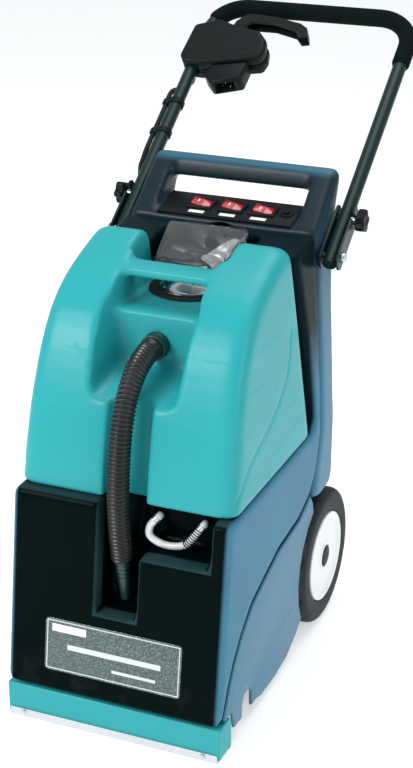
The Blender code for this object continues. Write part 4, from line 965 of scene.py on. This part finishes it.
class CLEANER_OT_hoses(bpy.types.Operator):
    """Make the corrugated drain hose with its plug, and the clear level hose"""

    bl_idname = "cleaner.hoses"
    bl_label = "Hoses"

    def execute(self, context):
        line = route(DRAIN_KNOTS, 0.00052)
        run = np.linspace(0, line_length(line), len(line))
        wave = 0.5 + 0.5 * np.cos(2 * math.pi * run / sizes().hose_pitch)
        groove = sizes().hose_groove * (1 - wave ** 0.7)
        hose = piped("drain_hose_rings", line, DRAIN_HOSE_R - groove, 40)
        hose.data.shade_smooth()
        dress(hose, "drain_hose", finish_once("corrugated hose", hose_finish))
        axis = unit(PLUG_TIP - PLUG_TOP)
        length = float(np.linalg.norm(PLUG_TIP - PLUG_TOP))
        height = np.linspace(0.0, length, 60)
        ribs = 0.0006 * (0.5 + 0.5 * np.cos(2 * math.pi * height / 0.006)) * (height < 0.026)
        radius = 0.0104 - 0.0044 * height / length - ribs
        radius[0], radius[-1] = radius[0] - 0.001, radius[-1] - 0.001
        profile = [(0.0, 0.0)] + list(zip(radius, height)) + [(0.0, length)]
        plug = finishing(turned("drain_plug_ribbed", profile, PLUG_TOP, axis, 40))
        dress(plug, "drain_plug")
        route(DRAIN_KNOTS, 0.009)
        loop = route(LEVEL_KNOTS, 0.0015)
        clear = piped("level_hose_braided", loop, LEVEL_HOSE_R, 28)
        clear.data.shade_smooth()
        dress(clear, "level_hose", finish_once("braided tubing", braided_finish))
        for spot, name in ((7, "level_clip_left"), (len(loop) - 8, "level_clip_right")):
            heading = unit(loop[spot + 1] - loop[spot - 1])
            ring = [(LEVEL_HOSE_R + 0.0001, -0.003), (LEVEL_HOSE_R + 0.0009, -0.003),
                    (LEVEL_HOSE_R + 0.0009, 0.003), (LEVEL_HOSE_R + 0.0001, 0.003)]
            clip = finishing(turned(name, ring, loop[spot], heading, 32), 0.0002)
            dress(clip, "level_hose", slot_material("zinc"), replace=False, slot="zinc")
        reach = loop[int(len(loop) * 0.66):-9]
        turns = respaced(reach, 0.00035)
        _, side, up = carried_frames(turns)
        twist = np.linspace(0, 2 * math.pi * line_length(reach) / GUARD_PITCH, len(turns))[:, None]
        coil = turns + (LEVEL_HOSE_R + GUARD_WIRE) * (np.cos(twist) * side + np.sin(twist) * up)
        guard = piped("level_hose_guard", coil, GUARD_WIRE, 8)
        guard.data.shade_smooth()
        dress(guard, "level_hose", slot_material("black_plastic"), replace=False, slot="black_plastic")
        route(LEVEL_KNOTS, 0.0045)
        return {"FINISHED"}


class CLEANER_OT_shells(bpy.types.Operator):
    """Make the soft-edged body, housing, skirts and recovery tank"""

    bl_idname = "cleaner.shells"
    bl_label = "Shells"

    def execute(self, context):
        for node, voxel, passes in (("recovery_tank", 0.0029, 22), ("main_body", 0.0031, 7),
                                    ("rear_housing", 0.0031, 12)):
            piece = softened_copy(node, node + "_moulded", voxel, passes)
            if node == "recovery_tank":
                press_groove(piece.data)
            dress(piece, node)
        for node in ("skirt_right", "skirt_left"):
            tidy_copy(node, 0.0010, 3)
        tidy_copy("exhaust_grille", 0.0004)
        return {"FINISHED"}


class CLEANER_OT_label(bpy.types.Operator):
    """Make the sparkling front label"""

    bl_idname = "cleaner.label"
    bl_label = "Label"

    def execute(self, context):
        tidy_copy("label_plate", 0.0003)
        return {"FINISHED"}


class CLEANER_OT_shoe(bpy.types.Operator):
    """Make the vacuum shoe, its glide strip and screws"""

    bl_idname = "cleaner.shoe"
    bl_label = "Vacuum Shoe"

    def execute(self, context):
        tidy_copy("vac_shoe", 0.0012, 3)
        tidy_copy("shoe_lip", 0.0005, 2, finish_once("glide strip", lip_finish))
        for node in ("shoe_screw_right", "shoe_screw_left"):
            tidy_copy(node, 0.0002)
        return {"FINISHED"}


class CLEANER_OT_wheels(bpy.types.Operator):
    """Make both wheels, their tyres and the axle caps"""

    bl_idname = "cleaner.wheels"
    bl_label = "Wheels"

    def execute(self, context):
        disc = [
            (0.0066, 0.0225), (0.0158, 0.0225), (0.0158, 0.0266), (0.0190, 0.0266), (0.0215, 0.0244),
            (0.0540, 0.0244), (0.0585, 0.0275), (DISC_R, 0.0275), (DISC_R, 0.0040), (0.0600, 0.0010), (0.0066, 0.0010),
        ]
        tread = [
            (DISC_R + 0.0003, 0.0275), (0.0700, 0.0290), (0.0860, 0.0295), (0.0940, 0.0262), (WHEEL_R, 0.0200),
            (WHEEL_R, 0.0100), (0.0940, 0.0038), (0.0860, 0.0005), (DISC_R + 0.0003, 0.0030),
        ]
        for side, suffix in ((1, "right"), (-1, "left")):
            wheel = turned("wheel_disc_" + suffix, rounded(disc, 0.0012), WHEEL_SPOT + X_AXIS * side * 0.1230,
                           (side, 0, 0))
            dress(finishing(wheel), "wheel_" + suffix)
            tyre = turned("tyre_band_" + suffix, rounded(tread, 0.0035), WHEEL_SPOT + X_AXIS * side * 0.1210,
                          (side, 0, 0))
            dress(finishing(tyre), "tyre_" + suffix)
            cap = [(0.0, 0.1506), (0.0090, 0.1504), (0.0138, 0.1499), (0.0151, 0.1492), (0.0151, 0.1460), (0.0, 0.1460)]
            hub = turned("axle_cap_" + suffix, rounded(cap, 0.0004, closed=False), WHEEL_SPOT, (side, 0, 0), 48)
            dress(finishing(hub), "axle", slot_material("black_plastic"), replace=False, slot="black_plastic")
        repaint("axle")
        return {"FINISHED"}


class CLEANER_OT_handle(bpy.types.Operator):
    """Make the folding handle, its foam grip, brackets, bolts and knobs"""

    bl_idname = "cleaner.handle"
    bl_label = "Handle"

    def execute(self, context):
        tube = piped("handle_tube_round", handle_line(TUBE_FOOT, TUBE_FOOT), HANDLE_R, 32)
        dress(finishing(tube), "handle_tube")
        line = handle_line(-0.018, None, 156)
        run = np.linspace(0, line_length(line), len(line))
        ends = np.minimum(run, run[-1] - run)
        radius = GRIP_R - 0.0014 * np.clip(1 - ends / 0.004, 0, 1) ** 2
        foam = piped("foam_grip_sleeve", line, radius, 36)
        dress(finishing(foam), "foam_grip")
        for node in ("bracket_right", "bracket_left"):
            tidy_copy(node, 0.0006)
        for node in ("pivot_bolt_right", "pivot_bolt_left"):
            tidy_copy(node, 0.0003)
        for side, suffix in ((1, "right"), (-1, "left")):
            centre = PIVOT + ALONG * STUD_ALONG
            head = [(0.0, 0.1660), (0.0078, 0.1660), (0.0080, 0.1672), (0.0122, 0.1676), (0.0135, 0.1690),
                    (0.0138, 0.1740), (0.0135, 0.1784), (0.0122, 0.1797), (0.0060, 0.1800), (0.0052, 0.1790), (0.0, 0.1788)]
            knob = turned("knob_lobed_" + suffix, rounded(head, 0.0008, closed=False), centre, (side, 0, 0), 80,
                          5, 0.17)
            dress(finishing(knob), "knob_" + suffix)
            stud = turned("knob_stud_" + suffix, [(0.0, 0.1415), (0.0040, 0.1415), (0.0040, 0.1665), (0.0, 0.1665)],
                          centre, (side, 0, 0), 32)
            dress(finishing(stud), "knob_" + suffix, slot_material("zinc"), replace=False, slot="zinc")
        return {"FINISHED"}


class CLEANER_OT_switch_box(bpy.types.Operator):
    """Make the switch box with its lever, inlet, cable and clips"""

    bl_idname = "cleaner.switch_box"
    bl_label = "Switch Box"

    def execute(self, context):
        for node in ("switch_box_front", "switch_box_back"):
            dress(softened_copy(node, node + "_moulded", 0.0013, 8), node)
        ring = [(0.0, 0.0184), (0.0088, 0.0184), (0.0092, 0.0193), (0.0100, 0.0196), (0.0108, 0.0192),
                (0.0110, 0.0180), (0.0, 0.0180)]
        badge = turned("switch_box_disc", rounded(ring, 0.0003, closed=False), on_handle(-0.084, -0.021), ABOVE, 64)
        dress(finishing(badge), "switch_box_front", slot_material("black_plastic"), replace=False)
        tidy_copy("trigger_lever", 0.0008, 3)
        tidy_copy("mains_inlet", 0.0006, 2)
        for x, n in ((-0.095, -0.003), (-0.083, -0.003), (-0.089, 0.004)):
            pin = turned("inlet_pin_%03d" % round(-1000 * x), [(0.0, 0.0), (0.0011, 0.0), (0.0011, 0.0100), (0.0007, 0.0110),
                         (0.0, 0.0110)], on_handle(x, -0.0702, n), -ALONG, 16)
            dress(finishing(pin), "mains_inlet", slot_material("brass"), replace=False, slot="brass")
        knots = [
            on_handle(-0.1500, -0.0612, -0.0145), on_handle(-0.1505, -0.0720, -0.0145), on_handle(-0.1600, -0.0880, -0.0100),
            on_handle(CABLE_X, -0.1050, 0.0), on_handle(CABLE_X, -0.1350, 0.0), on_handle(CABLE_X, -0.1700, 0.0),
            on_handle(CABLE_X, -0.2100, 0.0), on_handle(CABLE_X, -0.2296, -0.0030), on_handle(CABLE_X, -0.2390, -0.0044),
            np.array((-0.1672, 0.4470, 0.5880)), np.array((-0.1665, 0.4360, 0.5500)), np.array((-0.1620, 0.4180, 0.5160)),
            np.array((-0.1520, 0.4000, 0.4940)), np.array((-0.1408, 0.3879, 0.4845)),
        ]
        cable = piped("switch_cable_whole", route(knots, 0.002), CABLE_R, 20)
        cable.data.shade_smooth()
        cable.data.materials.append(slot_material("rubber"))
        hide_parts("switch_cable", "cable_tail")
        tuple(on_handle(CABLE_X, -0.2100, 0.0))
        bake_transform(cable)
        for node in ("cable_clip_upper", "cable_clip_lower"):
            tidy_copy(node, 0.0004, material=slot_material("black_plastic"))
        return {"FINISHED"}


class CLEANER_OT_panel(bpy.types.Operator):
    """Make the control panel with its switches and label strips"""

    bl_idname = "cleaner.panel"
    bl_label = "Control Panel"

    def execute(self, context):
        tidy_copy("control_panel", 0.0005, 2)
        for node in ("rocker_left", "rocker_middle", "rocker_right"):
            tidy_copy(node, 0.0005, 2)
        tidy_copy("reset_button", 0.0006, 2)
        for i, x in enumerate(SWITCH_X):
            strip = block("switch_strip_%d" % (i + 1), on_panel(x, -0.0205, 0.0028), (X_AXIS, PANEL_BACK, PANEL_OUT),
                          (0.0110, 0.0032, 0.0003), 0.0002, 1)
            dress(strip, "control_panel", slot_material("white"), replace=False, slot="white")
        return {"FINISHED"}


class CLEANER_OT_tank_top(bpy.types.Operator):
    """Make the clear hood, its seal and the drain collar, and paint the float"""

    bl_idname = "cleaner.tank_top"
    bl_label = "Tank Top"

    def execute(self, context):
        tidy_copy("dome", 0.0010, 3)
        collar = [(0.0100, 0.0003), (0.0100, 0.0160), (0.0165, 0.0160), (0.0160, 0.0060), (0.0172, 0.0045), (0.0172, 0.0003)]
        ring = turned("drain_collar_round", rounded(collar, 0.0008), PORT, (0, -1, 0), 64)
        dress(finishing(ring), "drain_collar")
        tidy_copy("dome_seal", 0.0006, 2)
        repaint("float_cage", "float_ball")
        return {"FINISHED"}


class CLEANER_OT_brush(bpy.types.Operator):
    """Make the brush's tufts and paint its drive"""

    bl_idname = "cleaner.brush"
    bl_label = "Brush"

    def execute(self, context):
        rows, count = sizes().tuft_rows, sizes().tufts_per_row
        row, place = np.meshgrid(np.arange(rows), np.arange(count), indexing="ij")
        across = (-0.110 + 0.220 * place / (count - 1)).ravel()
        angle = (2 * math.pi * row / rows + across.reshape(rows, count) * 9.0).ravel()
        out = np.stack([np.zeros_like(angle), np.cos(angle), np.sin(angle)], axis=1)
        side = np.stack([np.zeros_like(angle), -np.sin(angle), np.cos(angle)], axis=1)
        turn = np.linspace(0, 2 * math.pi, 6, endpoint=False)
        levels = np.array([(0.0118, 0.0016), (0.0230, 0.0023), (0.0304, 0.0032)])
        ring = np.cos(turn)[:, None, None] * X_AXIS + np.sin(turn)[:, None, None] * side
        points = (BRUSH_SPOT + across[:, None] * X_AXIS)[:, None, None] \
            + levels[None, :, 0, None, None] * out[:, None, None] \
            + levels[None, :, 1, None, None] * ring.transpose(1, 0, 2)[:, None]
        tufts = len(across)
        one = grid_faces(3, 6)
        quads = (one[None] + 18 * np.arange(tufts)[:, None, None]).reshape(-1, 4).tolist()
        base = 18 * np.arange(tufts)[:, None]
        caps = (base + np.arange(6)[::-1][None]).tolist() + (base + 12 + np.arange(6)[None]).tolist()
        brush = outward(mesh_object("brush_tufts", points, quads + caps))
        brush.data.shade_smooth()
        brush.data.set_sharp_from_angle(angle=math.radians(50))
        dress(brush, "brush_bristles")
        repaint("brush_core", "brush_housing", "brush_bearing_right", "brush_bearing_left", "brush_motor",
                "motor_pulley", "drive_belt")
        return {"FINISHED"}


class CLEANER_OT_inside(bpy.types.Operator):
    """Paint the parts inside the body"""

    bl_idname = "cleaner.inside"
    bl_label = "Inside Parts"

    def execute(self, context):
        repaint("chassis_tray", "vacuum_case", "vacuum_fan", "pump", "spray_bar", "solution_tank", "suction_duct")
        return {"FINISHED"}


class CLEANER_PT_panel(bpy.types.Panel):
    """Lists the pieces that can be made"""

    bl_idname = "CLEANER_PT_panel"
    bl_label = "Carpet Cleaner"
    bl_space_type = "VIEW_3D"
    bl_region_type = "UI"
    bl_category = "Cleaner"

    def draw(self, context):
        layout = self.layout
        for group in (context.scene.cleaner_sizes, context.scene.cleaner_colours):
            for prop in group.bl_rna.properties:
                if prop.identifier not in {"rna_type", "name"}:
                    layout.prop(group, prop.identifier)
        for operator in OPERATORS:
            layout.operator(operator.bl_idname)


OPERATORS = (
    CLEANER_OT_stage, CLEANER_OT_hoses, CLEANER_OT_shells, CLEANER_OT_label, CLEANER_OT_shoe, CLEANER_OT_wheels,
    CLEANER_OT_handle, CLEANER_OT_switch_box, CLEANER_OT_panel, CLEANER_OT_tank_top, CLEANER_OT_brush,
    CLEANER_OT_inside,
)
CLASSES = (CleanerSizes, CleanerColours, *OPERATORS, CLEANER_PT_panel)


def register():
    for cls in CLASSES:
        bpy.utils.register_class(cls)
    bpy.types.Scene.cleaner_sizes = PointerProperty(type=CleanerSizes)
    bpy.types.Scene.cleaner_colours = PointerProperty(type=CleanerColours)


def unregister():
    del bpy.types.Scene.cleaner_colours
    del bpy.types.Scene.cleaner_sizes
    for cls in reversed(CLASSES):
        bpy.utils.unregister_class(cls)


def main():
    register()
    bpy.ops.cleaner.stage()
    bpy.ops.cleaner.hoses()
    bpy.ops.cleaner.shells()
    bpy.ops.cleaner.label()
    bpy.ops.cleaner.shoe()
    bpy.ops.cleaner.wheels()
    bpy.ops.cleaner.handle()
    bpy.ops.cleaner.switch_box()
    bpy.ops.cleaner.panel()
    bpy.ops.cleaner.tank_top()
    bpy.ops.cleaner.brush()
    bpy.ops.cleaner.inside()


if __name__ == "__main__":
    main()
